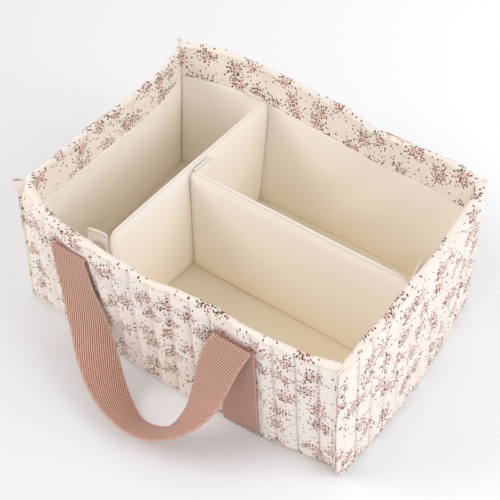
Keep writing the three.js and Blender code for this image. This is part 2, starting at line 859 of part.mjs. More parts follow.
const frontFoldStandoff = foldRadius + layerGap;
const handles = new THREE.Group();
[['front', frontFoldStandoff], ['back', backFoldStandoff]].forEach(([name, standoff]) => {
  const [leftCentre, rightCentre] = strapCentres(walls[name]);
  handles.add(piece(`${name}_left_strap`, wallStrap(walls[name], leftCentre, standoff), webbing));
  handles.add(piece(`${name}_right_strap`, wallStrap(walls[name], rightCentre, standoff), webbing));
  handles.add(piece(`${name}_handle`, handleLoop(walls[name], standoff), webbing));
});

const dividers = new THREE.Group();
[['cross_divider', crossDivider], ['long_divider', longDivider]].forEach(([name, divider]) => {
  dividers.add(piece(`${name}_cover`, dividerCover(divider), liningCotton));
  dividers.add(piece(`${name}_foam`, dividerFoam(divider), foam));
});
Object.entries(tabs).forEach(([name, place]) => {
  dividers.add(piece(`${name}_tab`, tab(place), liningCotton));
  dividers.add(piece(`${name}_hook_tape`, tape(place), hookTape));
});

const caddy = new THREE.Group();
caddy.add(tub, handles, dividers);

export default caddy;
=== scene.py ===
import math

import bmesh
import bpy
from mathutils import Matrix, Vector, noise


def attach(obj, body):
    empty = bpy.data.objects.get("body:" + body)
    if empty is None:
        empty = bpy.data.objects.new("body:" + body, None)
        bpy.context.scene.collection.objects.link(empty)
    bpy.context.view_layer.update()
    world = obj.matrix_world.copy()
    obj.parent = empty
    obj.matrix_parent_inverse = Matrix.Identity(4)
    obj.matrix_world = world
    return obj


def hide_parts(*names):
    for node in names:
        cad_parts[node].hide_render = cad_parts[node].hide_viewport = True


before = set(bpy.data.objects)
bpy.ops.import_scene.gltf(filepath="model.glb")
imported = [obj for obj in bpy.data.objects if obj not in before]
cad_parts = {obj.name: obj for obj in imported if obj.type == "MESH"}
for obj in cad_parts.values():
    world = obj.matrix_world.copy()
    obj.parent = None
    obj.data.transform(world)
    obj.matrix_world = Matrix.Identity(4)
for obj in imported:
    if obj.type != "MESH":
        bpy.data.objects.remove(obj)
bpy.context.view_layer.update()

# Lengths are in millimetres, as in the part's source, and become metres where a mesh is placed. The patterns
# of the finishes, the floor and the lights are in metres.
MM = 0.001

# Tub
BASE_LENGTH = 380
BASE_WIDTH = 256
TUB_HEIGHT = 176
CHANNEL_WIDTH = 22

# Each wall's leans at its two ends, bows, skew, fullness and sag are those of the part's source. Its tucks
# are how far its soft foot is drawn in at the two ends, over its tuck length. Its strays are how far the soft
# rim wanders out of the bow, at shares of the run.
WALLS = {
    "front": {
        "along": "x",
        "side": -1,
        "leans": (2.9, -7.4),
        "rim_bow": 23,
        "rim_skew": 5,
        "rim_fullness": 4.7,
        "base_bow": 11.5,
        "sag": 2.3,
        "handle_shift": -7.5,
        "tucks": (0, 6.5),
        "tuck_length": 60,
        "strays": ((0, 0), (0.07, 2), (0.15, 0.8), (0.21, 0.8), (0.29, -2.8), (0.38, -0.3), (0.46, 4.4),
                   (0.56, 0.5), (0.66, -2.8), (0.75, 0.3), (0.85, 0.3), (0.925, 1.6), (1, 0)),
    },
    "back": {
        "along": "x",
        "side": 1,
        "leans": (-1.6, 1.7),
        "rim_bow": 13.9,
        "rim_skew": 5.8,
        "rim_fullness": 4,
        "base_bow": 3,
        "sag": -4,
        "handle_shift": -11.5,
        "tucks": (0, 0),
        "tuck_length": 20,
        "strays": ((0, 0), (0.05, 2.2), (0.13, 1.6), (0.24, -1.1), (0.34, -1.2), (0.47, 0.9), (0.56, 2.3),
                   (0.62, -1.2), (0.665, -5.6), (0.72, -4.8), (0.78, -3), (0.84, 0.3), (0.92, 3), (1, 0)),
    },
    "left": {
        "along": "y",
        "side": -1,
        "leans": (14.1, 7.2),
        "rim_bow": -6.7,
        "rim_skew": 4.5,
        "rim_fullness": -1.1,
        "base_bow": -3,
        "sag": 0.4,
        "tucks": (0, 0),
        "tuck_length": 20,
        "strays": ((0, 0), (0.06, 2.6), (0.15, 0), (0.85, 0), (0.94, -2), (1, 0)),
    },
    "right": {
        "along": "y",
        "side": 1,
        "leans": (6.1, 8.5),
        "rim_bow": 6.9,
        "rim_skew": -1.5,
        "rim_fullness": 0.8,
        "base_bow": 10.3,
        "sag": 0,
        "tucks": (-1, 0),
        "tuck_length": 20,
        "strays": ((0, 0), (0.03, 0.8), (0.15, -0.6), (0.26, 0.9), (0.38, -0.4), (0.55, 0.9), (0.76, -0.8),
                   (0.86, 0.6), (0.94, 2.4), (1, 0)),
    },
}
STRAY_OUT_SHARE = 0.6

# Depths into a wall from its quilting stitches, and heights, as in the part's source
HEM_TONGUE_DEPTH = 1.5
FOAM_FRONT = 2.8
FOAM_BACK = 7.3
LINING_FRONT = 7.6
LINING_BACK = 8.6
WALL_THICKNESS = 10.1
SEAM_FOOT = 1.8
SEAM_TOP = 3
WALL_FOOT = 3.3
BASE_FOAM_TOP = 5.1
FLOOR_HEIGHT = 6.4
RIM_THINNING = 3.5
RIM_RADIUS = 3.3
RIM_CENTRE = TUB_HEIGHT - RIM_RADIUS
LAYER_TOP = 172.4
HEM_LINE = 171.7
FACING_FOOT = 140

# Webbing
WEBBING_WIDTH = 40
WEBBING_THICKNESS = 1.8
HANDLE_SPAN = 183
HANDLE_REACH = 47.5
FOLD_HEIGHT = 152
FOLD_RADIUS = 2.2
LOOP_LOWEST = 13.6
FRONT_FOLD_REACH = 153.085
BACK_FOLD_REACH = 153.294
BACK_FOLD_STANDOFF = 8.4
BACK_FOLD_RISE = 14
LAYER_GAP = 0.3

# The route of a hanging handle: shares of its span, of its reach from the wall and of its drop, and the way
# its width lies there
LOOP_ROUTE = (
    (0, 0, 0, (1, 0, 0)),
    (0.036, 0.03, 0.318, (0.95, 0.15, 0.26)),
    (0.126, 0.2, 0.6, (0.83, 0.5, 0.24)),
    (0.2, 0.4, 0.756, (0.63, 0.77, 0.1)),
    (0.374, 0.79, 0.944, (0.28, 0.89, -0.35)),
    (0.552, 1, 1, (0.07, 0.79, -0.62)),
    (0.708, 0.93, 0.954, (-0.02, 0.84, -0.54)),
    (0.816, 0.64, 0.815, (-0.47, 0.84, -0.28)),
    (0.874, 0.32, 0.644, (-0.86, 0.5, 0)),
    (0.911, 0.11, 0.403, (-0.98, 0.16, 0.12)),
    (0.945, 0.035, 0.2, (-0.97, 0.03, 0.2)),
    (1, 0, 0, (-1, 0, 0)),
)

# Dividers and tabs
DIVIDER_THICKNESS = 7
DIVIDER_FOOT = 6.7
DIVIDER_TOP = 150
CROSS_FRONT_X = -84
CROSS_BACK_X = -70
CROSS_FRONT_STANDOFF = 13
LONG_LEFT_Y = 0
LONG_RIGHT_Y = -0.7
LONG_RIGHT_STANDOFF = 6
END_CLEARANCE = 0.6
TAB_FOOT = 10.7
TAB_TOP = 147
TAB_THICKNESS = 1.8
TAPE_THICKNESS = 1
TAB_ROOT_GAP = 0.4
CROSS_TAB_WIDTH = 21.5
LONG_TAB_WIDTH = 26
CROSS_FRONT_TAB_LEAN = 3.3
LONG_RIGHT_TAB_LEAN = -3.2

# The photograph's camera
CAMERA_AZIMUTH = 34.03
CAMERA_ELEVATION = 48.95
CAMERA_ROLL = 0.61
CAMERA_LENS = 77.1
CAMERA_SENSOR = 36
CAMERA_DISTANCE = 1085.13
CAMERA_TARGET = Vector((0, 0, 80))
CAMERA_SHIFT = (-0.00152, -0.0051)


def mix(a, b, share):
    return a + (b - a) * share


def smooth(low, high, value):
    share = min(1, max(0, (value - low) / (high - low)))
    return share * share * (3 - 2 * share)


def waviness(x, y, seed):
    """Soft unevenness between -1 and 1, for the way that sewn cloth lies."""
    return noise.noise(Vector((x, y, seed)))


# The shape of the tub's walls


def line_at(wall, height, share):
    """How far out the straight line between a wall's ends lies at a height and a share of its run."""
    foot = (BASE_WIDTH if wall["along"] == "x" else BASE_LENGTH) / 2
    return foot - mix(*wall["leans"], share) * height / TUB_HEIGHT


def run_ends(wall, height, depth):
    """Where a wall's run starts and ends, at a height and a depth into the wall."""
    low, high = ("left", "right") if wall["along"] == "x" else ("front", "back")
    end = 0 if wall["side"] < 0 else 1
    return depth - line_at(WALLS[low], height, end), line_at(WALLS[high], height, end) - depth


def run_length(wall, height, depth):
    start, end = run_ends(wall, height, depth)
    return end - start


def stray_at(wall, share):
    """How far a wall's rim wanders out of its bow, in mm."""
    knots = wall["strays"]
    for (low, before), (high, after) in zip(knots, knots[1:]):
        if share <= high:
            return mix(before, after, smooth(low, high, share))
    return 0


def reach_at(wall, run, height, depth):
    """How far out a wall lies at a place on its run, a height and a depth into the wall."""
    start, end = run_ends(wall, height, depth)
    share = (run - start) / (end - start)
    turn = math.pi * share
    rise = height / TUB_HEIGHT
    bow = mix(wall["base_bow"], wall["rim_bow"], rise) * math.sin(turn)
    skew = wall["rim_skew"] * rise * math.sin(2 * turn)
    fullness = wall["rim_fullness"] * rise * math.sin(3 * turn)
    stray = stray_at(wall, share) * rise**3
    if wall["along"] == "x":
        stray *= STRAY_OUT_SHARE
    near_start = math.exp(-(((run - start) / wall["tuck_length"]) ** 2))
    near_end = math.exp(-(((end - run) / wall["tuck_length"]) ** 2))
    tuck = (wall["tucks"][0] * near_start + wall["tucks"][1] * near_end) * (1 - rise) ** 6
    return line_at(wall, height, share) + bow + skew + fullness + stray - tuck - depth


def place_on_wall(wall, run, reach, height):
    if wall["along"] == "x":
        return Vector((run, wall["side"] * reach, height))
    return Vector((wall["side"] * reach, run, height))


def wall_point(wall, share, height, depth, trim):
    """A point of a wall that sags with its rim. The trim keeps it off the two ends of the run."""
    start, end = run_ends(wall, height, depth)
    run = mix(start + trim, end - trim, share)
    rise = height / TUB_HEIGHT
    drop = wall["sag"] * math.sin(math.pi * share) * rise * rise
    if wall["along"] == "x":
        drop -= wall["side"] * STRAY_OUT_SHARE * stray_at(wall, share) * rise**6
    return place_on_wall(wall, run, reach_at(wall, run, height, depth), height - drop)


def layer_depth(depth, height):
    """The layers behind the quilting are drawn outwards to the thin rim, from the foot of the facing up."""
    return depth - RIM_THINNING * max(0, (height - FACING_FOOT) / (RIM_CENTRE - FACING_FOOT))


def corner_point(side_x, side_y, height):
    """Where two walls meet at a height."""
    side_wall = WALLS["left" if side_x < 0 else "right"]
    long_wall = WALLS["front" if side_y < 0 else "back"]
    end_y = 0 if side_y < 0 else 1
    end_x = 0 if side_x < 0 else 1
    low = (1 - height / TUB_HEIGHT) ** 6
    x = side_x * (line_at(side_wall, height, end_y) - side_wall["tucks"][end_y] * low)
    y = side_y * (line_at(long_wall, height, end_x) - long_wall["tucks"][end_x] * low)
    return Vector((x, y, height))


def channel_count(wall):
    return round(run_length(wall, 0, 0) / CHANNEL_WIDTH)


def strap_centres(wall):
    return [wall["handle_shift"] - HANDLE_SPAN / 2, wall["handle_shift"] + HANDLE_SPAN / 2]


# Meshes


def finish_piece(name, mesh, material, body, nodes):
    """Places a finished mesh as a smooth piece that rides on a body and stands for CAD nodes."""
    mesh.normal_update()
    data = bpy.data.meshes.new(name)
    mesh.to_mesh(data)
    mesh.free()
    for face in data.polygons:
        face.use_smooth = True
    piece = bpy.data.objects.new(name, data)
    bpy.context.scene.collection.objects.link(piece)
    data.materials.append(material)
    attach(piece, body)
    if nodes:
        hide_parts(*nodes)
    return piece


def thicken(piece, thickness):
    """Gives a cloth its thickness, inwards from the face that shows."""
    layer = piece.modifiers.new("cloth_thickness", "SOLIDIFY")
    layer.thickness = thickness * MM
    layer.offset = -1
    layer.use_even_offset = False


def lay_cloth(columns, rows, place, cloth_at, turned=False):
    """A cloth as a grid. place gives a point in mm, and cloth_at its place on the flat cloth in mm."""
    mesh = bmesh.new()
    flat = mesh.loops.layers.uv.new("cloth")
    bmesh.ops.create_grid(mesh, x_segments=columns, y_segments=rows, size=0.5)
    mesh.verts.index_update()
    cloth = []
    for vert in mesh.verts:
        share = (vert.co.x + 0.5, vert.co.y + 0.5)
        vert.co = place(*share) * MM
        cloth.append(Vector(cloth_at(*share)) * MM)
    for face in mesh.faces:
        for loop in face.loops:
            loop[flat].uv = cloth[loop.vert.index]
    if turned:
        bmesh.ops.reverse_faces(mesh, faces=mesh.faces)
    return mesh


def roll_band(sides, steps, place, cloth_at):
    """A closed band round a route. place takes the number of a side and of a step, and gives mm."""
    mesh = bmesh.new()
    flat = mesh.loops.layers.uv.new("cloth")
    start = bmesh.ops.create_circle(mesh, cap_ends=True, segments=sides, radius=1)["verts"]
    order = {vert: side for side, vert in enumerate(start)}
    face = start[0].link_faces[0]
    bmesh.ops.spin(
        mesh,
        geom=[face],
        cent=(0, 0, 0),
        axis=(0, 0, 1),
        dvec=(0, 0, 1),
        angle=0,
        steps=steps,
        use_merge=False,
        use_normal_flip=False,
        use_duplicate=False,
    )
    spots = {}
    by_angle = {}
    for vert in start:
        by_angle[round(math.atan2(vert.co.y, vert.co.x), 3)] = order[vert]
    mesh.verts.index_update()
    cloth = {}
    for vert in mesh.verts:
        side = by_angle[round(math.atan2(vert.co.y, vert.co.x), 3)]
        step = round(vert.co.z)
        spots[vert] = place(side, step)
        cloth[vert.index] = Vector(cloth_at(side, step)) * MM
    for vert, spot in spots.items():
        vert.co = spot * MM
    for each in mesh.faces:
        for loop in each.loops:
            loop[flat].uv = cloth[loop.vert.index]
    bmesh.ops.recalc_face_normals(mesh, faces=mesh.faces)
    return mesh


# Finishes


def tone(red, green, blue):
    """A colour as a painter reads it, from 0 to 255, made linear."""

    def linear(value):
        value /= 255
        return value / 12.92 if value <= 0.04045 else ((value + 0.055) / 1.055) ** 2.4

    return (linear(red), linear(green), linear(blue), 1)


class Finish:
    """A material and short ways to add nodes to it."""

    def __init__(self, name, roughness, sheen=0.0):
        self.material = bpy.data.materials.new(name)
        self.material.use_nodes = True
        self.tree = self.material.node_tree
        self.shader = self.tree.nodes["Principled BSDF"]
        self.shader.inputs["Roughness"].default_value = roughness
        self.shader.inputs["Sheen Weight"].default_value = sheen
        self.shader.inputs["Specular IOR Level"].default_value = 0.25

    def node(self, kind, settings=None, **links):
        made = self.tree.nodes.new(kind)
        for key, value in (settings or {}).items():
            setattr(made, key, value)
        for key, value in links.items():
            self.feed(made, key.replace("_", " "), value)
        return made

    def feed(self, node, socket, value):
        target = node.inputs[int(socket)] if socket.isdigit() else node.inputs[socket]
        if isinstance(value, bpy.types.NodeSocket):
            self.tree.links.new(value, target)
        else:
            target.default_value = value

    def math(self, operation, first, second=0.0, third=0.0, clamp=False):
        made = self.tree.nodes.new("ShaderNodeMath")
        made.operation = operation
        made.use_clamp = clamp
        for place, value in enumerate((first, second, third)):
            self.feed(made, str(place), value)
        return made.outputs[0]

    def vector(self, operation, first, second=(0, 0, 0), scale=1.0):
        made = self.tree.nodes.new("ShaderNodeVectorMath")
        made.operation = operation
        self.feed(made, "0", first)
        self.feed(made, "1", second)
        if operation == "SCALE":
            self.feed(made, "Scale", scale)
        return made.outputs["Value"] if operation in ("LENGTH", "DOT_PRODUCT") else made.outputs[0]

    def ramp(self, value, low, high, to_low=0.0, to_high=1.0):
        made = self.tree.nodes.new("ShaderNodeMapRange")
        self.feed(made, "Value", value)
        self.feed(made, "From Min", low)
        self.feed(made, "From Max", high)
        self.feed(made, "To Min", to_low)
        self.feed(made, "To Max", to_high)
        return made.outputs[0]

    def blend(self, share, first, second):
        made = self.tree.nodes.new("ShaderNodeMix")
        made.data_type = "RGBA"
        self.feed(made, "0", share)
        self.feed(made, "6", first)
        self.feed(made, "7", second)
        return made.outputs[2]

    def cells(self, place, pitch, randomness=1.0):
        made = self.tree.nodes.new("ShaderNodeTexVoronoi")
        made.voronoi_dimensions = "2D"
        self.feed(made, "Vector", place)
        self.feed(made, "Scale", 1 / pitch)
        self.feed(made, "Randomness", randomness)
        parts = self.tree.nodes.new("ShaderNodeSeparateColor")
        self.tree.links.new(made.outputs["Color"], parts.inputs[0])
        return {
            "distance": made.outputs["Distance"],
            "centre": made.outputs["Position"],
            "chances": [parts.outputs[0], parts.outputs[1], parts.outputs[2]],
        }

    def mottle(self, place, pitch, detail=3.0):
        made = self.tree.nodes.new("ShaderNodeTexNoise")
        self.feed(made, "Vector", place)
        self.feed(made, "Scale", 1 / pitch)
        self.feed(made, "Detail", detail)
        return made.outputs["Fac"]

    def stripes(self, place, direction, pitch):
        """Waves from 0 to 1 across a direction on the flat cloth."""
        along = self.vector("DOT_PRODUCT", place, direction)
        wave = self.math("SINE", self.math("MULTIPLY", along, 2 * math.pi / pitch))
        return self.ramp(wave, -1, 1)

    def relief(self, height, depth, strength=1.0, under=None):
        made = self.tree.nodes.new("ShaderNodeBump")
        made.inputs["Strength"].default_value = strength
        made.inputs["Distance"].default_value = depth
        self.tree.links.new(height, made.inputs["Height"])
        if under is not None:
            self.tree.links.new(under, made.inputs["Normal"])
        return made.outputs[0]

    def cloth_place(self):
        return self.node("ShaderNodeUVMap", {"uv_map": "cloth"}).outputs[0]

    def object_place(self):
        return self.node("ShaderNodeTexCoord").outputs["Object"]

    def wear(self, colour, normal=None, roughness=None):
        self.feed(self.shader, "Base Color", colour)
        if normal is not None:
            self.feed(self.shader, "Normal", normal)
        if roughness is not None:
            self.feed(self.shader, "Roughness", roughness)
        return self.material


THREAD_PITCH = 0.00042


def plain_weave(finish, place):
    """The over and under of a plain cotton weave, as a height."""
    warp = finish.stripes(place, (1, 0, 0), THREAD_PITCH * 2)
    weft = finish.stripes(place, (0, 1, 0), THREAD_PITCH * 2)
    return finish.math("MULTIPLY", warp, weft)


# Where the corner fins' cloth starts on the flat cloth, in mm, and how much of it they take
FIN_CLOTH = 2800
FIN_CLOTH_WIDTH = 200

# The print's clusters, and the blossoms at their hearts
CLUSTER_PITCH = 0.0295
CLUSTER_SCATTER = 0.72
CLUSTER_SPREAD_SHARES = (0.19, 0.33)
BLUSH_SHARES = (0.1, 0.33)
BLOSSOM_PITCH = 0.0026
BLOSSOM_SIZES = (0.00065, 0.00105)

# The strokes of the print: their pitch, the ring round a cluster that they keep to, the share of them that is
# printed, their length and slimness, and how far beside the cluster their ring lies
BUDS = {
    "pitch": 0.0032,
    "ring_shares": (0.13, 0.44),
    "printed_share": 0.46,
    "length": 0.0014,
    "slimness": 1.6,
    "beside": (0, 0, 0),
}
LEAVES = {
    "pitch": 0.003,
    "ring_shares": (0, 0.15),
    "printed_share": 0.75,
    "length": 0.0018,
    "slimness": 2.1,
    "beside": (0.0066, 0.0062, 0),
}
STRAY_BUDS = {
    "pitch": 0.0034,
    "ring_shares": (0.4, 2),
    "printed_share": 0.15,
    "length": 0.0013,
    "slimness": 1.5,
    "beside": (0, 0, 0),
}

# Heights on the flat cloth, in metres: where the fins' plain tips start and end their change, and where the
# band of painted shade over the rim comes in and goes out
PLAIN_TIP = (0.162, 0.164)
RIM_SHADE_IN = (0.171, 0.178)
RIM_SHADE_OUT = (0.19, 0.179)


def blossom_marks(finish, place):
    """Where the small round blossoms at the heart of a cluster lie, and the blush behind them."""
    blossoms = finish.cells(place, BLOSSOM_PITCH, 0.75)
    clusters = finish.cells(blossoms["centre"], CLUSTER_PITCH, CLUSTER_SCATTER)
    spread = finish.ramp(clusters["chances"][0], 0, 1, *CLUSTER_SPREAD_SHARES)
    ragged = finish.math("MULTIPLY", spread, finish.ramp(blossoms["chances"][0], 0, 1, 0.6, 1.2))
    chosen = finish.math("LESS_THAN", clusters["distance"], ragged)
    away = finish.vector("LENGTH", finish.vector("SUBTRACT", place, blossoms["centre"]))
    size = finish.ramp(blossoms["chances"][2], 0, 1, *BLOSSOM_SIZES)
    petals = finish.math("MULTIPLY", finish.math("LESS_THAN", away, size), chosen)
    near = finish.cells(place, CLUSTER_PITCH, CLUSTER_SCATTER)
    blush = finish.ramp(near["distance"], *BLUSH_SHARES, 0.32, 0)
    return {"petals": petals, "blush": blush, "chance": blossoms["chances"][1]}


def strewn_marks(finish, place, kind):
    """Short strokes that point at the middle of a cluster and lie in a ring round it or beside it."""
    marks = finish.cells(place, kind["pitch"], 0.85)
    start = finish.vector("ADD", marks["centre"], kind["beside"])
    clusters = finish.cells(start, CLUSTER_PITCH, CLUSTER_SCATTER)
    inner, outer = kind["ring_shares"]
    within = finish.math("LESS_THAN", clusters["distance"], outer)
    beyond = finish.math("GREATER_THAN", clusters["distance"], inner)
    printed = finish.math("LESS_THAN", marks["chances"][0], kind["printed_share"])
    chosen = finish.math("MULTIPLY", finish.math("MULTIPLY", within, beyond), printed)
    radial = finish.vector("NORMALIZE", finish.vector("SUBTRACT", start, clusters["centre"]))
    local = finish.vector("SUBTRACT", place, marks["centre"])
    along = finish.vector("DOT_PRODUCT", local, radial)
    whole = finish.vector("DOT_PRODUCT", local, local)
    along = finish.math("MULTIPLY", along, along)
    across = finish.math("MULTIPLY", finish.math("SUBTRACT", whole, along), kind["slimness"] ** 2)
    far = finish.math("SQRT", finish.math("ADD", along, across))
    size = finish.math("MULTIPLY", kind["length"], finish.ramp(marks["chances"][1], 0, 1, 0.6, 1.1))
    return finish.math("MULTIPLY", finish.math("LESS_THAN", far, size), chosen)


def printed_cotton(name, ground, warm_ground):
    """Cream cotton with a small all-over print: clusters of blossoms with buds, leaves and stray buds."""
    finish = Finish(name, 0.86, 0.12)
    place = finish.cloth_place()
    blossoms = blossom_marks(finish, place)
    buds = strewn_marks(finish, place, BUDS)
    leaves = strewn_marks(finish, place, LEAVES)
    strays = strewn_marks(finish, place, STRAY_BUDS)

    colour = finish.blend(finish.mottle(place, 0.05), ground, warm_ground)
    colour = finish.blend(blossoms["blush"], colour, tone(228, 176, 166))
    petal_tone = finish.blend(blossoms["chance"], tone(178, 100, 97), tone(106, 52, 53))
    colour = finish.blend(blossoms["petals"], colour, petal_tone)
    colour = finish.blend(leaves, colour, tone(104, 126, 76))
    colour = finish.blend(buds, colour, tone(98, 54, 50))
    colour = finish.blend(strays, colour, tone(98, 60, 56))

    # The tips of the corner fins show the unprinted side of the cloth.
    parts = finish.node("ShaderNodeSeparateXYZ")
    finish.feed(parts, "0", place)
    past_start = finish.math("GREATER_THAN", parts.outputs[0], FIN_CLOTH * MM)
    before_end = finish.math("LESS_THAN", parts.outputs[0], (FIN_CLOTH + FIN_CLOTH_WIDTH) * MM)
    on_fin = finish.math("MULTIPLY", past_start, before_end)
    at_tip = finish.math("MULTIPLY", on_fin, finish.ramp(parts.outputs[1], *PLAIN_TIP))
    colour = finish.blend(at_tip, colour, warm_ground)

    # The fold over the rim is painted a little greyer, as painted shade on the upward-facing rim.
    rim_shade_in = finish.ramp(parts.outputs[1], *RIM_SHADE_IN)
    rim_shade_out = finish.ramp(parts.outputs[1], *RIM_SHADE_OUT)
    shaded_rim = finish.math("MULTIPLY", rim_shade_in, rim_shade_out)
    rim_shade_colour = finish.vector("MULTIPLY", colour, (0.91, 0.9, 0.885))
    colour = finish.blend(shaded_rim, colour, rim_shade_colour)

    weave = plain_weave(finish, place)
    slubs = finish.relief(finish.mottle(place, 0.003), 0.0002, 0.35)
    normal = finish.relief(weave, 0.00012, 0.5, slubs)
    return finish.wear(colour, normal)


# Heights in metres: where the lining's painted warm shade starts and stops, going down, and where the band of
# painted shade along a divider's folded top comes in on its flat cloth
WARM_SHADE_DOWN = (0.14, 0.01)
TOP_FOLD_SHADE = (0.1415, 0.1445)


def plain_cotton(name, light, deep, low):
    """Unprinted cotton with a fine weave and a soft mottle, painted a little warmer towards the caddy's floor
    as shade.
    """
    finish = Finish(name, 0.9, 0.12)
    place = finish.cloth_place()
    colour = finish.blend(finish.mottle(place, 0.06), light, deep)
    parts = finish.node("ShaderNodeSeparateXYZ")
    finish.feed(parts, "0", finish.object_place())
    # Painted shade: towards the caddy's floor the colour turns to the warmer low tone, for the warm shade
    # deep in the tub.
    colour = finish.blend(finish.ramp(parts.outputs[2], *WARM_SHADE_DOWN), colour, low)
    flat = finish.node("ShaderNodeSeparateXYZ")
    finish.feed(flat, "0", place)
    # Painted shade: high on the flat cloth, along a divider's folded top and the tabs' tops, the colour is
    # darkened so those top edges are no brighter than the faces.
    folded = finish.ramp(flat.outputs[1], *TOP_FOLD_SHADE)
    colour = finish.blend(folded, colour, finish.vector("MULTIPLY", colour, (0.84, 0.82, 0.79)))
    weave = plain_weave(finish, place)
    slubs = finish.relief(finish.mottle(place, 0.004), 0.00025, 0.3)
    normal = finish.relief(weave, 0.0001, 0.5, slubs)
    return finish.wear(colour, normal)


TWILL_PITCH = 0.0021
TWILL_STEP_PITCH = 0.0022
SELVEDGE_PITCH = 0.0016
SELVEDGE = (0.0178, 0.0186)


def cotton_webbing(name):
    """Dusty pink webbing in a steep twill, with plain selvedges. Its cloth place is (across, along)."""
    finish = Finish(name, 0.78, 0.2)
    place = finish.cloth_place()
    parts = finish.node("ShaderNodeSeparateXYZ")
    finish.feed(parts, "0", place)
    steep = finish.stripes(place, (0.98, 0.2, 0), TWILL_PITCH)
    steps = finish.stripes(place, (-0.45, 0.89, 0), TWILL_STEP_PITCH)
    ribs = finish.math("MULTIPLY", steep, finish.ramp(steps, 0, 1, 0.25, 1))
    from_middle = finish.math("ABSOLUTE", parts.outputs[0])
    selvedge = finish.ramp(from_middle, *SELVEDGE)
    cords = finish.ramp(finish.stripes(place, (0, 1, 0), SELVEDGE_PITCH), 0, 1, 0.2, 0.62)
    height = finish.node("ShaderNodeMix", {"data_type": "FLOAT"})
    finish.feed(height, "0", selvedge)
    finish.feed(height, "2", ribs)
    finish.feed(height, "3", cords)
    woven = height.outputs[0]
    # The twill's ribs and grooves are the webbing's own weave; the light tone on the raised ribs is painted
    # highlight and the dark tone in the grooves painted shade.
    low = finish.blend(finish.mottle(place, 0.012), tone(152, 89, 70), tone(140, 78, 61))
    high = finish.blend(finish.mottle(place, 0.02), tone(255, 229, 210), tone(252, 214, 194))
    colour = finish.blend(woven, low, high)
    normal = finish.relief(woven, 0.0004, 0.9)
    return finish.wear(colour, normal)


def sewing_thread(name, colour):
    finish = Finish(name, 0.6, 0.1)
    place = finish.object_place()
    twist = finish.mottle(place, 0.0008)
    shaded = tuple(0.85 * part for part in colour[:3]) + (1,)
    return finish.wear(finish.blend(twist, colour, shaded))


FOAM_CELLS_PER_METRE = 900


def open_foam(name):
    finish = Finish(name, 1.0)
    place = finish.object_place()
    cells = finish.node("ShaderNodeTexVoronoi")
    finish.feed(cells, "Vector", place)
    finish.feed(cells, "Scale", FOAM_CELLS_PER_METRE)
    colour = finish.blend(cells.outputs["Distance"], tone(214, 206, 184), tone(250, 247, 236))
    return finish.wear(colour, finish.relief(cells.outputs["Distance"], 0.0005, 0.7))


def grey_board(name):
    finish = Finish(name, 0.92)
    place = finish.object_place()
    fibres = finish.mottle(place, 0.0015, 6)
    colour = finish.blend(fibres, tone(176, 160, 136), tone(204, 190, 166))
    return finish.wear(colour, finish.relief(fibres, 0.0002, 0.5))


HOOK_PITCH = 0.0011


def hook_tape_finish(name):
    """Hook tape: rows of fine hooks on a ribbon."""
    finish = Finish(name, 0.7)
    place = finish.cloth_place()
    across = finish.stripes(place, (1, 0, 0), HOOK_PITCH)
    along = finish.stripes(place, (0, 1, 0), HOOK_PITCH)
    rows = finish.math("MULTIPLY", across, along)
    colour = finish.blend(rows, tone(226, 214, 194), tone(248, 241, 228))
    return finish.wear(colour, finish.relief(rows, 0.0006, 1.0))


FLORAL = printed_cotton("floral_cotton", tone(244, 235, 226), tone(241, 227, 217))
# The lining's last tone is its painted warm shade towards the caddy's floor.
LINING = plain_cotton("lining_cotton", tone(252, 246, 240), tone(250, 242, 234), tone(254, 244, 226))
# Painted shade: the floor lining is a darker copy of the lining, for the shade on the tub's floor.
SHADED_FLOOR_LINING = plain_cotton(
    "shaded_floor_lining_cotton", tone(246, 238, 228), tone(242, 232, 220), tone(239, 225, 203)
)
WEBBING = cotton_webbing("webbing")
FOAM = open_foam("padding")
BOARD = grey_board("stiffener")
HOOKS = hook_tape_finish("hook_tape")
CREAM_THREAD = sewing_thread("cream_thread", tone(244, 232, 218))
PINK_THREAD = sewing_thread("pink_thread", tone(206, 156, 142))


def slotted(piece):
    return piece


# Quilted outer walls

QUILT_PUFF = 3.3
QUILT_SHARPNESS = 0.45
QUILT_COLUMNS = 16
QUILT_ROWS = 64
QUILT_BODY = 1.1
RIM_PUFF = 1.5
EDGE_TRIM = -0.5
HEM_TONGUE_SHARE = 0.02
OVER_FOLD_SHARE = 0.3
# How far apart the walls' cloth lies on the flat cloth, so that no two walls show the same print
CLOTH_STEP = 400


def beside_straps(wall, run):
    """How much a channel may puff at a place along a long wall: none under the webbing."""
    nearest = min(abs(run - centre) for centre in strap_centres(wall))
    return smooth(WEBBING_WIDTH / 2 - 1, WEBBING_WIDTH / 2 + 6, nearest)


def quilt_depth(wall, share, height, seed):
    """How deep the quilted face lies at a place: below 0 where a channel puffs out."""
    channels = channel_count(wall)
    swell = abs(math.sin(math.pi * channels * share)) ** QUILT_SHARPNESS
    lively = 1 + 0.22 * waviness(math.floor(channels * share) * 1.7, height / 90, seed)
    if wall is WALLS["front"]:
        lively += 0.5 * smooth(channels - 1, channels - 0.9, channels * share)
    foot = smooth(WALL_FOOT - 1, WALL_FOOT + 7, height) ** 0.5
    head = mix(RIM_PUFF / QUILT_PUFF, 1, smooth(HEM_LINE, HEM_LINE - 11, height))
    run = mix(*run_ends(wall, height, 0), share)
    flat = 1
    if wall["along"] == "x":
        free = beside_straps(wall, run)
        over_fold = smooth(FOLD_HEIGHT + 1, FOLD_HEIGHT + 8, height)
        flat = mix(free, mix(free, 1, OVER_FOLD_SHARE), over_fold)
    to_line = abs(channels * share - round(channels * share)) * CHANNEL_WIDTH
    pucker = 0.35 * waviness(share * channels * 0.8, height / 5.5, seed + 4) * math.exp(-to_line / 3.5)
    crease = 0.25 * waviness(share * channels * 1.3, height / 14, seed + 9)
    puff = QUILT_PUFF * swell * lively + (pucker + crease) * swell
    return -puff * foot * head * flat


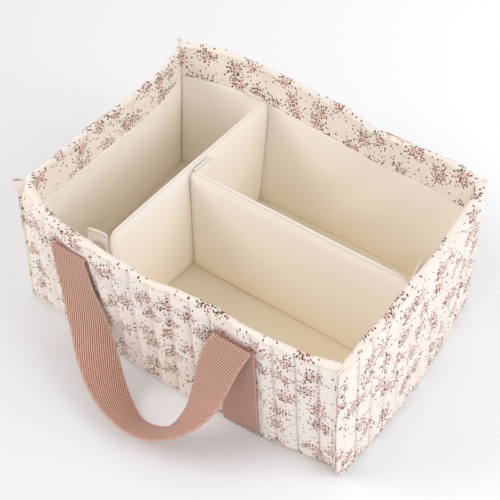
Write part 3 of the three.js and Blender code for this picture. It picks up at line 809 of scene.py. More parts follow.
def quilted_wall(name, seed):
    wall = WALLS[name]
    columns = channel_count(wall) * QUILT_COLUMNS
    tongue = HEM_TONGUE_SHARE

    def rise(v):
        """The height at a share of the panel, whose last share is the tongue under the facing's hem."""
        if v < 1 - tongue:
            return mix(WALL_FOOT, HEM_LINE - LAYER_GAP, v / (1 - tongue))
        return mix(HEM_LINE - LAYER_GAP, LAYER_TOP, (v - 1 + tongue) / tongue)

    def place(u, v):
        height = rise(v)
        tucked = HEM_TONGUE_DEPTH * smooth(HEM_LINE - 0.6, HEM_LINE + 0.6, height)
        return wall_point(wall, u, height, quilt_depth(wall, u, height, seed) + tucked, EDGE_TRIM)

    def cloth_at(u, v):
        return (seed * CLOTH_STEP + u * run_length(wall, 0, 0), rise(v))

    turned = (wall["side"] > 0) == (wall["along"] == "x")
    mesh = lay_cloth(columns, QUILT_ROWS, place, cloth_at, turned)
    piece = finish_piece(f"quilted_{name}_wall", mesh, FLORAL, "root", [f"outer_{name}_panel"])
    thicken(piece, QUILT_BODY)
    return slotted(piece)


# Printed facings over the rim

FACING_ROWS = 72
OUTER_LEG = RIM_CENTRE - HEM_LINE
ARC_LENGTH = math.pi * RIM_RADIUS
INNER_LEG = RIM_CENTRE - FACING_FOOT
FACING_LENGTH = OUTER_LEG + ARC_LENGTH + INNER_LEG


def facing_profile(travel):
    """Depth, height and the way out of the cloth, at a length along the facing from its outer hem."""
    if travel < OUTER_LEG:
        return 0, HEM_LINE + travel, (-1, 0)
    if travel < OUTER_LEG + ARC_LENGTH:
        turn = (travel - OUTER_LEG) / RIM_RADIUS
        out = (-math.cos(turn), math.sin(turn))
        return RIM_RADIUS + RIM_RADIUS * out[0], RIM_CENTRE + RIM_RADIUS * out[1], out
    height = RIM_CENTRE - (travel - OUTER_LEG - ARC_LENGTH)
    return layer_depth(WALL_THICKNESS, height), height, (1, 0)


FACING_BODY = 0.9
INNER_STITCH = FACING_LENGTH - 4

# The front facing bulges inwards near the cross divider's tab: how far, and the shares of the wall's run over
# which it swells and sinks
FRONT_BULGE = 4.5
BULGE_IN_SHARES = (0.14, 0.2)
BULGE_OUT_SHARES = (0.3, 0.25)
BULGE_START = 20


def facing_lift(wall, share, travel, seed):
    """How far the facing stands proud of its smooth place: over the channels' tops and softly uneven."""
    run = mix(*run_ends(wall, TUB_HEIGHT, 0), share)
    swell = abs(math.sin(math.pi * channel_count(wall) * share)) ** 0.6
    channels = RIM_PUFF * swell * smooth(OUTER_LEG + 0.7 * ARC_LENGTH, OUTER_LEG, travel)
    drawn = 0.35 * math.exp(-(((travel - INNER_STITCH) / 2) ** 2))
    slant = waviness((run + 0.9 * travel) / 11, travel / 26, seed)
    near_line = math.exp(-abs(travel - INNER_STITCH) / 7) + 0.4 * math.exp(-abs(travel - OUTER_LEG) / 5)
    inside = smooth(OUTER_LEG + ARC_LENGTH / 2, OUTER_LEG + ARC_LENGTH + 4, travel)
    bulge = 0
    if wall is WALLS["front"]:
        swelling = smooth(*BULGE_IN_SHARES, share) * smooth(*BULGE_OUT_SHARES, share)
        bulge = FRONT_BULGE * swelling * smooth(FACING_LENGTH, BULGE_START, travel) * inside
    ripple = 0.3 * slant * near_line + 0.5 * waviness(run / 30, travel / 24, seed + 5) * inside
    return channels + bulge + ripple - drawn


def rim_facing(name, seed):
    wall = WALLS[name]
    columns = channel_count(wall) * 11

    def place(u, v):
        travel = v * FACING_LENGTH
        depth, height, out = facing_profile(travel)
        to_end = min(u, 1 - u) * run_length(wall, TUB_HEIGHT, 0)
        lift = facing_lift(wall, u, travel, seed) * smooth(0, 9, to_end)
        return wall_point(wall, u, height + lift * out[1], depth + lift * out[0], EDGE_TRIM)

    def cloth_at(u, v):
        return (seed * CLOTH_STEP + u * run_length(wall, 0, 0), HEM_LINE + v * FACING_LENGTH)

    turned = (wall["side"] > 0) == (wall["along"] == "x")
    mesh = lay_cloth(columns, FACING_ROWS, place, cloth_at, turned)
    piece = finish_piece(f"{name}_rim_facing", mesh, FLORAL, "root", [f"{name}_facing"])
    thicken(piece, FACING_BODY)
    return slotted(piece)


# Linings

LINING_PUFF = 1.2
LINING_BODY = 0.7
LINING_ROWS = 72
LINING_CLOTH_STEP = 300
FLOOR_LENGTH = 370
FLOOR_WIDTH = 245
FLOOR_SAG = 0.9
FLOOR_COVE = 2.2
# The floor's cloth starts here on the flat cloth, clear of the painted shade along a divider's folded top.
FLOOR_CLOTH = -250


def wall_lining(name, seed):
    wall = WALLS[name]
    columns = 96 if wall["along"] == "x" else 72

    def place(u, v):
        height = mix(FLOOR_HEIGHT - 1, LAYER_TOP, v)
        length = run_length(wall, height, LINING_BACK)
        to_end = min(u, 1 - u) * length
        soft = smooth(0, 16, to_end) * smooth(FLOOR_HEIGHT - 2, FLOOR_HEIGHT + 14, height)
        below_facing = smooth(FACING_FOOT + 0.4, FACING_FOOT - 2.5, height)
        puff = LINING_PUFF * below_facing * mix(0.3, 1, soft)
        fold = 2 * waviness((u * length - 0.7 * height) / 46, height / 80, seed) * below_facing * soft
        pull = 0.45 * waviness(u * length / 9, height / 24, seed + 3) * math.exp(-to_end / 14)
        depth = layer_depth(LINING_BACK, height) + puff + fold * 0.6 + pull * below_facing
        return wall_point(wall, u, height, depth, EDGE_TRIM)

    def cloth_at(u, v):
        return (seed * LINING_CLOTH_STEP + u * run_length(wall, 0, 0), mix(0, LAYER_TOP, v))

    turned = (wall["side"] > 0) != (wall["along"] == "x")
    mesh = lay_cloth(columns, LINING_ROWS, place, cloth_at, turned)
    piece = finish_piece(f"{name}_wall_lining", mesh, LINING, "root", [f"{name}_lining"])
    thicken(piece, LINING_BODY)
    return slotted(piece)


def floor_point(u, v, height, depth):
    """A point on a level sheet that fills the tub's outline at a height and a depth."""
    run_x = mix(*run_ends(WALLS["front"], height, depth), u)
    run_y = mix(*run_ends(WALLS["left"], height, depth), v)
    x = mix(
        -reach_at(WALLS["left"], run_y, height, depth),
        reach_at(WALLS["right"], run_y, height, depth),
        u,
    )
    y = mix(
        -reach_at(WALLS["front"], run_x, height, depth),
        reach_at(WALLS["back"], run_x, height, depth),
        v,
    )
    return Vector((x, y, height))


def floor_lining():
    def place(u, v):
        point = floor_point(u, v, FLOOR_HEIGHT, LINING_BACK)
        to_edge = min(min(u, 1 - u) * FLOOR_LENGTH, min(v, 1 - v) * FLOOR_WIDTH)
        soft = smooth(0, 18, to_edge)
        point.z += FLOOR_SAG * (soft * (0.6 + 0.4 * waviness(point.x / 50, point.y / 50, 3)) - 1)
        point.z -= 0.25 * abs(waviness(point.x / 18, point.y / 18, 8)) * soft
        point.z += FLOOR_COVE * smooth(5, 0, to_edge)
        return point

    def cloth_at(u, v):
        return (u * FLOOR_LENGTH, v * FLOOR_WIDTH + FLOOR_CLOTH)

    mesh = lay_cloth(90, 64, place, cloth_at)
    piece = finish_piece("floor_lining", mesh, SHADED_FLOOR_LINING, "root", ["base_lining"])
    thicken(piece, LINING_BODY)
    return slotted(piece)


# Foam, the outer base panel and the welt round it

FOAM_EASE = 0.2
FOAM_TRIM = 3.4
BASE_RIBS = 17
BASE_RIB_DEPTH = 0.7
BASE_CLOTH = 2400
WELT_RADIUS = 1.1
WELT_LENGTH = 1300
WELT_CLOTH = 600


def wall_foam(name):
    """A sheet of foam, thinned towards the rim. Its band runs up the outer face and down the inner one."""
    wall = WALLS[name]
    rows = 14
    sides = 2 * rows
    steps = 40

    def place(side, step):
        row = side % rows
        outer = side < rows
        height = mix(WALL_FOOT, LAYER_TOP - LAYER_GAP, (row if outer else rows - 1 - row) / (rows - 1))
        depth = FOAM_FRONT + FOAM_EASE if outer else layer_depth(FOAM_BACK - FOAM_EASE, height)
        return wall_point(wall, step / steps, height, depth, FOAM_TRIM)

    mesh = roll_band(sides, steps, place, lambda side, step: (step * 9, side * 12))
    piece = finish_piece(f"{name}_wall_foam", mesh, FOAM, "root", [f"{name}_foam"])
    return slotted(piece)


def base_foam():
    def place(u, v):
        return floor_point(u, v, BASE_FOAM_TOP, LINING_FRONT)

    mesh = lay_cloth(40, 30, place, lambda u, v: (u * FLOOR_LENGTH, v * FLOOR_WIDTH))
    piece = finish_piece("floor_foam", mesh, FOAM, "root", ["base_foam"])
    thicken(piece, BASE_FOAM_TOP - WALL_FOOT)
    return slotted(piece)


def base_panel():
    def place(u, v):
        point = floor_point(u, v, 0, 0)
        rib = abs(math.sin(math.pi * BASE_RIBS * u)) ** 0.5
        point.z = BASE_RIB_DEPTH * (1 - rib * smooth(0, 0.03, min(u, 1 - u, v, 1 - v)))
        return point

    def cloth_at(u, v):
        return (BASE_CLOTH + u * BASE_LENGTH, v * BASE_WIDTH)

    mesh = lay_cloth(12 * BASE_RIBS, 30, place, cloth_at, turned=True)
    piece = finish_piece("quilted_base", mesh, FLORAL, "root", ["outer_base_panel"])
    thicken(piece, LINING_BODY)
    return slotted(piece)


def outline_point(share, height, depth):
    """A point once round the tub's outline, at a share from 0 to 1."""
    quarter = min(3, int(share * 4))
    inner = share * 4 - quarter
    name = ("front", "right", "back", "left")[quarter]
    run = inner if quarter < 2 else 1 - inner
    return wall_point(WALLS[name], run, height, depth, 0)


def base_welt():
    middle = (SEAM_FOOT + SEAM_TOP) / 2

    def place(u, v):
        turn = 2 * math.pi * v
        proud = math.cos(turn) + 0.5
        return outline_point(u % 1, middle + WELT_RADIUS * math.sin(turn), -proud)

    mesh = lay_cloth(360, 10, place, lambda u, v: (u * WELT_LENGTH, WELT_CLOTH + v * 8))
    bmesh.ops.remove_doubles(mesh, verts=mesh.verts, dist=0.00005)
    bmesh.ops.recalc_face_normals(mesh, faces=mesh.faces)
    piece = finish_piece("base_welt", mesh, FLORAL, "root", ["base_seam"])
    return slotted(piece)


# Corner fins: two plies of the walls' edges, sewn face to face, which end at the rim in a small ear

FIN_PLY = 2.4
FIN_ROOT = -2.2
FIN_CLOTH_HEIGHT = 172
# The shares of the height over which an ear spreads, and over which it rises and thins
EAR_SPREAD_SHARES = (0.955, 0.985)
EAR_RISE_SHARES = (0.965, 1)

# Each corner's place, the turn of its fin from the corner's diagonal in degrees, the fin's reach at its foot
# and at its top, and the reach and rise of its ear
CORNERS = {
    "front_left": {"sides": (-1, -1), "turn": 6, "reaches": (3, 6.6), "ear": (3.4, 6)},
    "front_right": {"sides": (1, -1), "turn": -55, "reaches": (9, 7), "ear": (0, 0.6)},
    "back_left": {"sides": (-1, 1), "turn": 0, "reaches": (3, 4), "ear": (0, 2)},
    "back_right": {"sides": (1, 1), "turn": 0, "reaches": (3, 2.4), "ear": (0, 1)},
}


def corner_fin(name):
    corner = CORNERS[name]
    side_x, side_y = corner["sides"]
    ear_reach, ear_rise = corner["ear"]
    outward = Vector((side_x, side_y, 0)).normalized()
    outward.rotate(Matrix.Rotation(math.radians(corner["turn"]), 3, "Z"))
    across = Vector((-outward.y, outward.x, 0))
    sides = 20
    steps = 80

    def section(side):
        """The outline of a ply: reach out of the corner, and the distance from the seam, both 0 to 1."""
        turn = 2 * math.pi * side / sides
        bulk = 0.5 + 0.5 * math.copysign(abs(math.sin(turn)) ** 0.6, math.sin(turn))
        reach = 0.5 + 0.5 * math.copysign(abs(math.cos(turn)) ** 0.55, math.cos(turn))
        return reach, bulk

    def ply(face, seed):
        def place(side, step):
            share = step / steps
            height = mix(WALL_FOOT - 1, TUB_HEIGHT - 1, share)
            reach, bulk = section(side)
            risen = smooth(*EAR_RISE_SHARES, share)
            head = risen if ear_reach else 0
            reach_end = mix(*corner["reaches"], share) + ear_reach * smooth(*EAR_SPREAD_SHARES, share)
            reach_end += 0.4 * waviness(height / 19, 0, seed)
            out = mix(FIN_ROOT, reach_end, reach)
            lift = risen * ear_rise * smooth(-0.2, 0.5, reach)
            thick = FIN_PLY * (1 - 0.3 * head) * mix(1, 0.8, reach)
            thick *= 1 + 0.12 * waviness(height / 8, reach * 2, seed + 1)
            wander = 0.5 * waviness(height / 35, 0, seed + 7)
            beside = face * (0.04 + bulk * thick) + wander
            root = corner_point(side_x, side_y, height)
            return root + outward * out + across * beside + Vector((0, 0, lift))

        def cloth_at(side, step):
            return (FIN_CLOTH + seed * 60 + side * 0.9, FIN_CLOTH_HEIGHT * step / steps)

        mesh = roll_band(sides, steps, place, cloth_at)
        return finish_piece(f"{name}_fin_{seed}", mesh, FLORAL, "root", [])

    first = slotted(ply(-1, 1))
    slotted(ply(1, 2))
    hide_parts(f"{name}_corner_seam")


# Webbing: the straps sewn to the walls and the hanging loops

# One half of the webbing's outline, from one selvedge to the other: shares of its width and thickness
BAND_FACE = (-1, -0.985, -0.95, -0.85, -0.6, -0.3, 0, 0.3, 0.6, 0.85, 0.95, 0.985, 1)
BAND_SECTION = [(x, 0 if abs(x) == 1 else 0.5) for x in BAND_FACE] + [(x, -0.5) for x in BAND_FACE[-2:0:-1]]
BAND_SECTION = [(x, y * (0.8 if abs(x) == 0.985 else 1)) for x, y in BAND_SECTION]


def webbing_band(name, frames, body, nodes, offset):
    """Flat webbing along a list of (centre, way of its width, way of its face), in mm."""
    travel = [0]
    for (before, _, _), (after, _, _) in zip(frames, frames[1:]):
        travel.append(travel[-1] + (after - before).length)

    def place(side, step):
        centre, lie, face = frames[step]
        wide, thick = BAND_SECTION[side]
        return centre + lie * (wide * WEBBING_WIDTH / 2) + face * (thick * WEBBING_THICKNESS)

    def cloth_at(side, step):
        return (BAND_SECTION[side][0] * WEBBING_WIDTH / 2, offset + travel[step])

    mesh = roll_band(len(BAND_SECTION), len(frames) - 1, place, cloth_at)
    piece = finish_piece(name, mesh, WEBBING, body, nodes)
    return slotted(piece)


STRAP_STEPS = 40
ARCH_STEPS = 12
STRAP_FOOT_MARGIN = 0.4


def wall_strap(wall_name, side_name, centre, standoff, offset):
    """A leg of the webbing, flat up the wall. The back legs arch off the wall under their fold."""
    wall = WALLS[wall_name]
    lie = LAYER_GAP + WEBBING_THICKNESS / 2
    arched = standoff > FOLD_RADIUS + LAYER_GAP
    arch_foot = FOLD_HEIGHT - BACK_FOLD_RISE
    foot = WALL_FOOT + STRAP_FOOT_MARGIN
    top = arch_foot if arched else FOLD_HEIGHT - FOLD_RADIUS - LAYER_GAP
    route = [(lie, mix(foot, top, step / STRAP_STEPS), 0) for step in range(STRAP_STEPS + 1)]
    if arched:
        end = standoff - FOLD_RADIUS - LAYER_GAP
        for step in range(1, ARCH_STEPS + 1):
            turn = math.pi / 2 * step / ARCH_STEPS
            height = arch_foot + BACK_FOLD_RISE * math.sin(turn)
            route.append((end - (end - lie) * math.cos(turn), height, turn))
    travel = [0]
    for (out_before, before, _), (out_after, after, _) in zip(route, route[1:]):
        travel.append(travel[-1] + math.hypot(out_after - out_before, after - before))

    def place(side, step):
        out, height, tilt = route[step]
        wide, thick = BAND_SECTION[side]
        run = centre + wide * WEBBING_WIDTH / 2
        away = thick * WEBBING_THICKNESS
        reach = reach_at(wall, run, height, 0) + out + away * math.cos(tilt)
        return place_on_wall(wall, run, reach, height - away * math.sin(tilt))

    def cloth_at(side, step):
        return (BAND_SECTION[side][0] * WEBBING_WIDTH / 2, offset + travel[step])

    mesh = roll_band(len(BAND_SECTION), len(route) - 1, place, cloth_at)
    name = f"{wall_name}_{side_name}_strap"
    piece = finish_piece(f"{wall_name}_{side_name}_webbing_leg", mesh, WEBBING, "root", [name])
    return slotted(piece)


def curve_point(knots, share):
    """A point on a smooth curve through knots, with the knots' spacing eased as in the part's source."""
    last = len(knots) - 1
    travel = share * last
    index = min(last - 1, int(travel))
    weight = travel - index
    before = knots[index - 1] if index else knots[0] * 2 - knots[1]
    start = knots[index]
    end = knots[index + 1]
    after = knots[index + 2] if index + 2 <= last else knots[last] * 2 - knots[last - 1]
    gaps = [max(1e-4, (b - a).length ** 0.5) for a, b in ((before, start), (start, end), (end, after))]
    first = (start - before) / gaps[0] - (end - before) / (gaps[0] + gaps[1]) + (end - start) / gaps[1]
    second = (end - start) / gaps[1] - (after - start) / (gaps[1] + gaps[2]) + (after - end) / gaps[2]
    first *= gaps[1]
    second *= gaps[1]
    bend = -3 * start + 3 * end - 2 * first - second
    twist = 2 * start - 2 * end + first + second
    return start + first * weight + bend * weight**2 + twist * weight**3


LOOP_STEPS = 150


def handle_loop(wall_name, fold_reach, offset):
    """The free loop of a handle, worked out for the front and turned half round for the back."""
    start_reach = fold_reach + FOLD_RADIUS - WEBBING_THICKNESS / 2
    drop = FOLD_HEIGHT - LOOP_LOWEST
    knots = []
    for across, out, down, _ in LOOP_ROUTE:
        x = (across - 0.5) * HANDLE_SPAN
        knots.append(Vector((x, -start_reach - out * HANDLE_REACH, FOLD_HEIGHT - down * drop)))
    lies = [Vector(lie) for _, _, _, lie in LOOP_ROUTE]
    points = [curve_point(knots, step / LOOP_STEPS) for step in range(LOOP_STEPS + 1)]
    frames = []
    for step, point in enumerate(points):
        ahead = points[min(LOOP_STEPS, step + 1)] - points[max(0, step - 1)]
        lie = curve_point(lies, step / LOOP_STEPS).normalized()
        face = ahead.normalized().cross(lie).normalized()
        frames.append([point, lie, face])

    def turned(vector):
        return Vector((-vector.x, -vector.y, vector.z)) if WALLS[wall_name]["side"] > 0 else vector

    shift = Vector((WALLS[wall_name]["handle_shift"], 0, 0))
    frames = [(turned(point) + shift, turned(lie), turned(face)) for point, lie, face in frames]
    webbing_band(f"{wall_name}_handle_loop", frames, f"{wall_name}_handle", [f"{wall_name}_handle"], offset)
    side = WALLS[wall_name]["side"]
    for end, name in ((-0.5, "left"), (0.5, "right")):
        middle = Vector((end * HANDLE_SPAN, side * fold_reach, FOLD_HEIGHT)) + shift
        fold_roll(f"{wall_name}_{name}_fold", middle, f"{wall_name}_handle")


def fold_roll(name, middle, body):
    """The webbing's turn at a fold: a small roll about the line that the handle turns on."""
    rounds = 24
    wide = WEBBING_WIDTH / 2

    def place(u, v):
        turn = 2 * math.pi * v
        edge = smooth(0, 0.03, min(u, 1 - u))
        radius = FOLD_RADIUS - 0.25 * (1 - edge)
        return middle + Vector((mix(-wide, wide, u), radius * math.cos(turn), radius * math.sin(turn)))

    mesh = lay_cloth(40, rounds, place, lambda u, v: (mix(-wide, wide, u), v * 2 * math.pi * FOLD_RADIUS))
    bmesh.ops.remove_doubles(mesh, verts=mesh.verts, dist=0.00001)
    bmesh.ops.holes_fill(mesh, edges=[edge for edge in mesh.edges if edge.is_boundary], sides=rounds + 1)
    bmesh.ops.recalc_face_normals(mesh, faces=mesh.faces)
    piece = finish_piece(name, mesh, WEBBING, body, [])
    return slotted(piece)


# Dividers: padded boards with a folded top edge


def inner_reach(wall, run, height, clearance):
    """How far out a piece may reach to stay a clearance off a wall's inside, its facing and its rim."""
    depth = WALL_THICKNESS + clearance
    return min(
        reach_at(wall, run, height, depth),
        reach_at(wall, run, FACING_FOOT, depth),
        reach_at(wall, run, TUB_HEIGHT, depth - RIM_THINNING),
    )


def cross_centre_x(y):
    return mix(CROSS_FRONT_X, CROSS_BACK_X, y / BASE_WIDTH + 0.5)


def long_centre_y(x):
    return mix(LONG_LEFT_Y, LONG_RIGHT_Y, x / BASE_LENGTH + 0.5)


def cross_right_face(y, clearance):
    return cross_centre_x(y) + DIVIDER_THICKNESS / 2 + clearance


CROSS = {
    "place": lambda run, aside, height: Vector((cross_centre_x(run) + aside, run, height)),
    "start": lambda height: -inner_reach(WALLS["front"], CROSS_FRONT_X, DIVIDER_FOOT, CROSS_FRONT_STANDOFF),
    "end": lambda height: inner_reach(WALLS["back"], CROSS_BACK_X, height, END_CLEARANCE),
}
LONG = {
    "place": lambda run, aside, height: Vector((run, long_centre_y(run) + aside, height)),
    "start": lambda height: cross_right_face(LONG_LEFT_Y, END_CLEARANCE),
    "end": lambda height: inner_reach(WALLS["right"], LONG_RIGHT_Y, DIVIDER_FOOT, LONG_RIGHT_STANDOFF),
}


def rounded_end(along, radius):
    """How far an edge is drawn in at a distance from the end, for a rounded corner."""
    if along >= radius:
        return 0
    return radius - math.sqrt(max(0, radius * radius - (radius - along) ** 2))


DIVIDER_TOP_CORNER = 10
DIVIDER_FOOT_CORNER = 7
DIVIDER_FOLD_DEPTH = 14
DIVIDER_CLOTH_HEIGHT = 145
DIVIDER_CLOTH_STARTS = (200, 700)
CORE_END_MARGIN = 8
CORE_FOOT_MARGIN = 6
CORE_TOP_MARGIN = 20
CORE_THICKNESS = 2


def padded_divider(name, divider, seed, length, body):
    """A board in a cloth cover: crowned faces, a folded top edge and corners rounded at their ends."""
    sides = 72
    steps = 90

    def stations(step):
        """Shares along the run, closer together at the two ends."""
        share = step / steps
        return 0.5 - 0.5 * math.cos(math.pi * (0.15 + 0.7 * share)) / math.cos(math.pi * 0.15)

    def section(side):
        turn = 2 * math.pi * side / sides
        aside = math.copysign(abs(math.sin(turn)) ** 0.22, math.sin(turn))
        up = -math.copysign(abs(math.cos(turn)) ** 0.9, math.cos(turn))
        return aside, 0.5 + 0.5 * up

    def place(side, step):
        share = stations(step)
        aside, up = section(side)
        along = min(share, 1 - share) * length
        top = DIVIDER_TOP - rounded_end(along, DIVIDER_TOP_CORNER)
        top += 0.5 * waviness(share * length / 45, 0, seed)
        foot = DIVIDER_FOOT + rounded_end(along, DIVIDER_FOOT_CORNER)
        height = mix(foot, top, up)
        half = DIVIDER_THICKNESS / 2
        half *= mix(0.42, 1, smooth(-1, 7, along)) * mix(0.78, 1, smooth(0, 9, height - foot))
        half *= mix(0.5, 1, smooth(0, DIVIDER_FOLD_DEPTH, top - height))
        half *= 1 - 0.05 * abs(waviness(share * length / 60, height / 60, seed + 2))
        bend = 0.7 * waviness(share * length / 90, height / 110, seed + 5) * smooth(0, 30, along)
        run = mix(divider["start"](height), divider["end"](height), share)
        return divider["place"](run, aside * half + bend, height)

    def cloth_at(side, step):
        aside, up = section(side)
        start = DIVIDER_CLOTH_STARTS[1 if aside > 0 else 0]
        return (stations(step) * length + start, up * DIVIDER_CLOTH_HEIGHT)

    mesh = roll_band(sides, steps, place, cloth_at)
    piece = finish_piece(f"padded_{name}", mesh, LINING, body, [f"{name}_cover"])
    slotted(piece)

    def core(u, v):
        height = mix(DIVIDER_FOOT + CORE_FOOT_MARGIN, DIVIDER_TOP - CORE_TOP_MARGIN, v)
        run = mix(divider["start"](height) + CORE_END_MARGIN, divider["end"](height) - CORE_END_MARGIN, u)
        return divider["place"](run, 0, height)

    inside = lay_cloth(20, 8, core, lambda u, v: (u * length, v * 140))
    foam = finish_piece(f"{name}_core", inside, FOAM, body, [f"{name}_foam"])
    thicken(foam, CORE_THICKNESS)
    foam.modifiers["cloth_thickness"].offset = 0
    slotted(foam)


# Tabs and their hook tapes

TAB_CORNER = 3
TAPE_MARGIN = 4
TAPE_CORNER = 1
TAPE_TOP_MARGIN = 16
TAPE_FAR = LAYER_GAP + TAPE_THICKNESS
TAB_NEAR = TAPE_FAR + LAYER_GAP


def on_wall(wall):
    def place(run, height, clearance):
        return place_on_wall(wall, run, inner_reach(wall, run, height, clearance), height)

    return place


def on_cross_divider(run, height, clearance):
    return Vector((cross_right_face(run, clearance), run, height))


def beside_end(wall, fold, end, width, lean):
    """The place of a tab that leans off its wall and starts at the end of its divider."""

    def place(run, height, clearance):
        away = abs(run - fold) / width
        return place_on_wall(wall, run, end + TAB_NEAR + lean * away - clearance, height)

    return place


CROSS_FRONT_END = -CROSS["start"](0)
CROSS_FRONT_FOLD = cross_centre_x(-CROSS_FRONT_END) - DIVIDER_THICKNESS / 2
CROSS_BACK_END = inner_reach(WALLS["back"], CROSS_BACK_X, TAB_FOOT, TAB_NEAR + TAB_THICKNESS)
CROSS_BACK_FOLD = cross_centre_x(CROSS_BACK_END) - DIVIDER_THICKNESS / 2
LONG_RIGHT_END = LONG["end"](0)
LONG_RIGHT_FOLD = LONG_RIGHT_Y + DIVIDER_THICKNESS / 2

TABS = {
    "cross_divider_front": {
        "body": "cross_front_tab",
        "face": beside_end(
            WALLS["front"], CROSS_FRONT_FOLD, CROSS_FRONT_END, CROSS_TAB_WIDTH, CROSS_FRONT_TAB_LEAN
        ),
        "fold": CROSS_FRONT_FOLD,
        "way": -1,
        "width": CROSS_TAB_WIDTH,
        "curl": 1.0,
    },
    "cross_divider_back": {
        "body": "cross_back_tab",
        "face": on_wall(WALLS["back"]),
        "fold": CROSS_BACK_FOLD,
        "way": -1,
        "width": CROSS_TAB_WIDTH,
        "curl": 0,
    },
    "long_divider_left": {
        "body": "long_left_tab",
        "face": on_cross_divider,
        "fold": LONG_LEFT_Y + DIVIDER_THICKNESS / 2,
        "way": 1,
        "width": LONG_TAB_WIDTH,
        "curl": 0,
    },
    "long_divider_right": {
        "body": "long_right_tab",
        "face": beside_end(
            WALLS["right"], LONG_RIGHT_FOLD, LONG_RIGHT_END, LONG_TAB_WIDTH, LONG_RIGHT_TAB_LEAN
        ),
        "fold": LONG_RIGHT_FOLD,
        "way": 1,
        "width": LONG_TAB_WIDTH,
        "curl": 0.8,
    },
}


def flap_sheet(tab, start, width, foot, top, clearance, radius, columns, rows, curl):
    """A cloth flap from its fold to its free edge, with rounded outer corners."""

    def place(u, v):
        along = u * width
        drawn = rounded_end(width - along, radius)
        height = mix(foot + drawn, top - drawn, v)
        run = start + tab["way"] * along
        bend = curl * math.sin(math.pi * u) * (0.4 + 0.6 * v) + 0.25 * waviness(u * 2, v * 9, width)
        return tab["face"](run, height, clearance + (bend if curl else 0))

    return lay_cloth(columns, rows, place, lambda u, v: (u * width + 40 * width, mix(foot, top, v)))


def hook_tab(name, tab):
    """A cloth tab and the hook tape on its back."""
    start = tab["fold"] + tab["way"] * TAB_ROOT_GAP
    mesh = flap_sheet(tab, start, tab["width"], TAB_FOOT, TAB_TOP, TAB_NEAR, TAB_CORNER, 16, 60, tab["curl"])
    piece = finish_piece(f"{name}_flap", mesh, LINING, tab["body"], [f"{name}_tab"])
    settle(piece, tab, TAB_THICKNESS)
    slotted(piece)
    tape_start = start + tab["way"] * TAPE_MARGIN
    tape_width = tab["width"] - 2 * TAPE_MARGIN
    tape_foot = TAB_FOOT + TAPE_MARGIN
    tape_top = TAB_TOP - TAPE_TOP_MARGIN
    tape = flap_sheet(tab, tape_start, tape_width, tape_foot, tape_top, LAYER_GAP, TAPE_CORNER, 8, 40, 0)
    hooks = finish_piece(f"{name}_hooks", tape, HOOKS, tab["body"], [f"{name}_hook_tape"])
    settle(hooks, tab, TAPE_THICKNESS)
    slotted(hooks)


def settle(piece, tab, thickness):
    """Thickens a flap away from the face that it lies on."""
    thicken(piece, thickness)
    run = tab["fold"] + tab["way"] * tab["width"] / 2
    near = tab["face"](run, 80, 0)
    far = tab["face"](run, 80, 1)
    away = (far - near).normalized()
    normal = piece.data.polygons[len(piece.data.polygons) // 2].normal
    piece.modifiers["cloth_thickness"].offset = 1 if normal.dot(away) > 0 else -1


# Stitches

STITCH_LENGTH = 2.2
STITCH_PITCH = 3.1
STITCH_WIDTH = 0.55
STITCH_PROUD = 0.15
SEAM_MARGIN = 3
STRAP_SEAM_INSET = 2.4
STRAP_SEAM_TOP = 146
OUTER_HEM_INSET = 0.8


def one_stitch():
    """A short bead of thread, upright at the origin, that every seam repeats."""
    mesh = bmesh.new()
    bmesh.ops.create_uvsphere(mesh, u_segments=6, v_segments=4, radius=0.5)
    bmesh.ops.scale(mesh, verts=mesh.verts, vec=(STITCH_WIDTH * MM, STITCH_WIDTH * MM, STITCH_LENGTH * MM))
    data = bpy.data.meshes.new("stitch")
    mesh.to_mesh(data)
    mesh.free()
    return data


STITCH = one_stitch()


def sew(mesh, spot, ahead):
    """Adds a stitch that lies along a seam."""
    turn = Vector((0, 0, 1)).rotation_difference(ahead)
    place = Matrix.Translation(spot * MM) @ turn.to_matrix().to_4x4()
    STITCH.transform(place)
    mesh.from_mesh(STITCH)
    STITCH.transform(place.inverted())


def stitch_row(mesh, path):
    """Stitches along a path, which takes a length in mm from 0 and gives None past its end."""
    travel = STITCH_PITCH / 2
    while True:
        spot = path(travel)
        beyond = path(travel + 1)
        if spot is None or beyond is None:
            return
        sew(mesh, spot, (beyond - spot).normalized())
        travel += STITCH_PITCH


def seam_piece(name, paths, material, body="root"):
    mesh = bmesh.new()
    for path in paths:
        stitch_row(mesh, path)
    return finish_piece(name, mesh, material, body, [])


def quilting_path(wall, share):
    def path(travel):
        height = WALL_FOOT + SEAM_MARGIN + travel
        if height > HEM_LINE - 2:
            return None
        run = mix(*run_ends(wall, height, 0), share)
        if wall["along"] == "x" and beside_straps(wall, run) < 0.3:
            return None
        return wall_point(wall, share, height, -STITCH_PROUD, EDGE_TRIM)

    return path


def hem_path(wall, travel_on_facing, seed):
    """A row of stitches along the facing, at a length from its outer hem."""
    length = run_length(wall, TUB_HEIGHT, 0)

    def path(travel):
        share = (travel + SEAM_MARGIN) / length
        if share > 1 - SEAM_MARGIN / length:
            return None
        depth, height, out = facing_profile(travel_on_facing)
        lift = facing_lift(wall, share, travel_on_facing, seed) + STITCH_PROUD
        return wall_point(wall, share, height + lift * out[1], depth + lift * out[0], EDGE_TRIM)

    return path


def strap_edge_path(wall, centre, side):
    def path(travel):
        height = WALL_FOOT + 4 + travel
        if height > STRAP_SEAM_TOP:
            return None
        run = centre + side * (WEBBING_WIDTH / 2 - STRAP_SEAM_INSET)
        reach = reach_at(wall, run, height, 0) + LAYER_GAP + WEBBING_THICKNESS + 0.1
        return place_on_wall(wall, run, reach, height)

    return path


# Making the caddy

PRINT_SEEDS = {"front": 1, "back": 2, "left": 3, "right": 4}
# Where the legs' and the loops' webbing starts along its own length
STRAP_CLOTH = 20
LOOP_CLOTH = 180
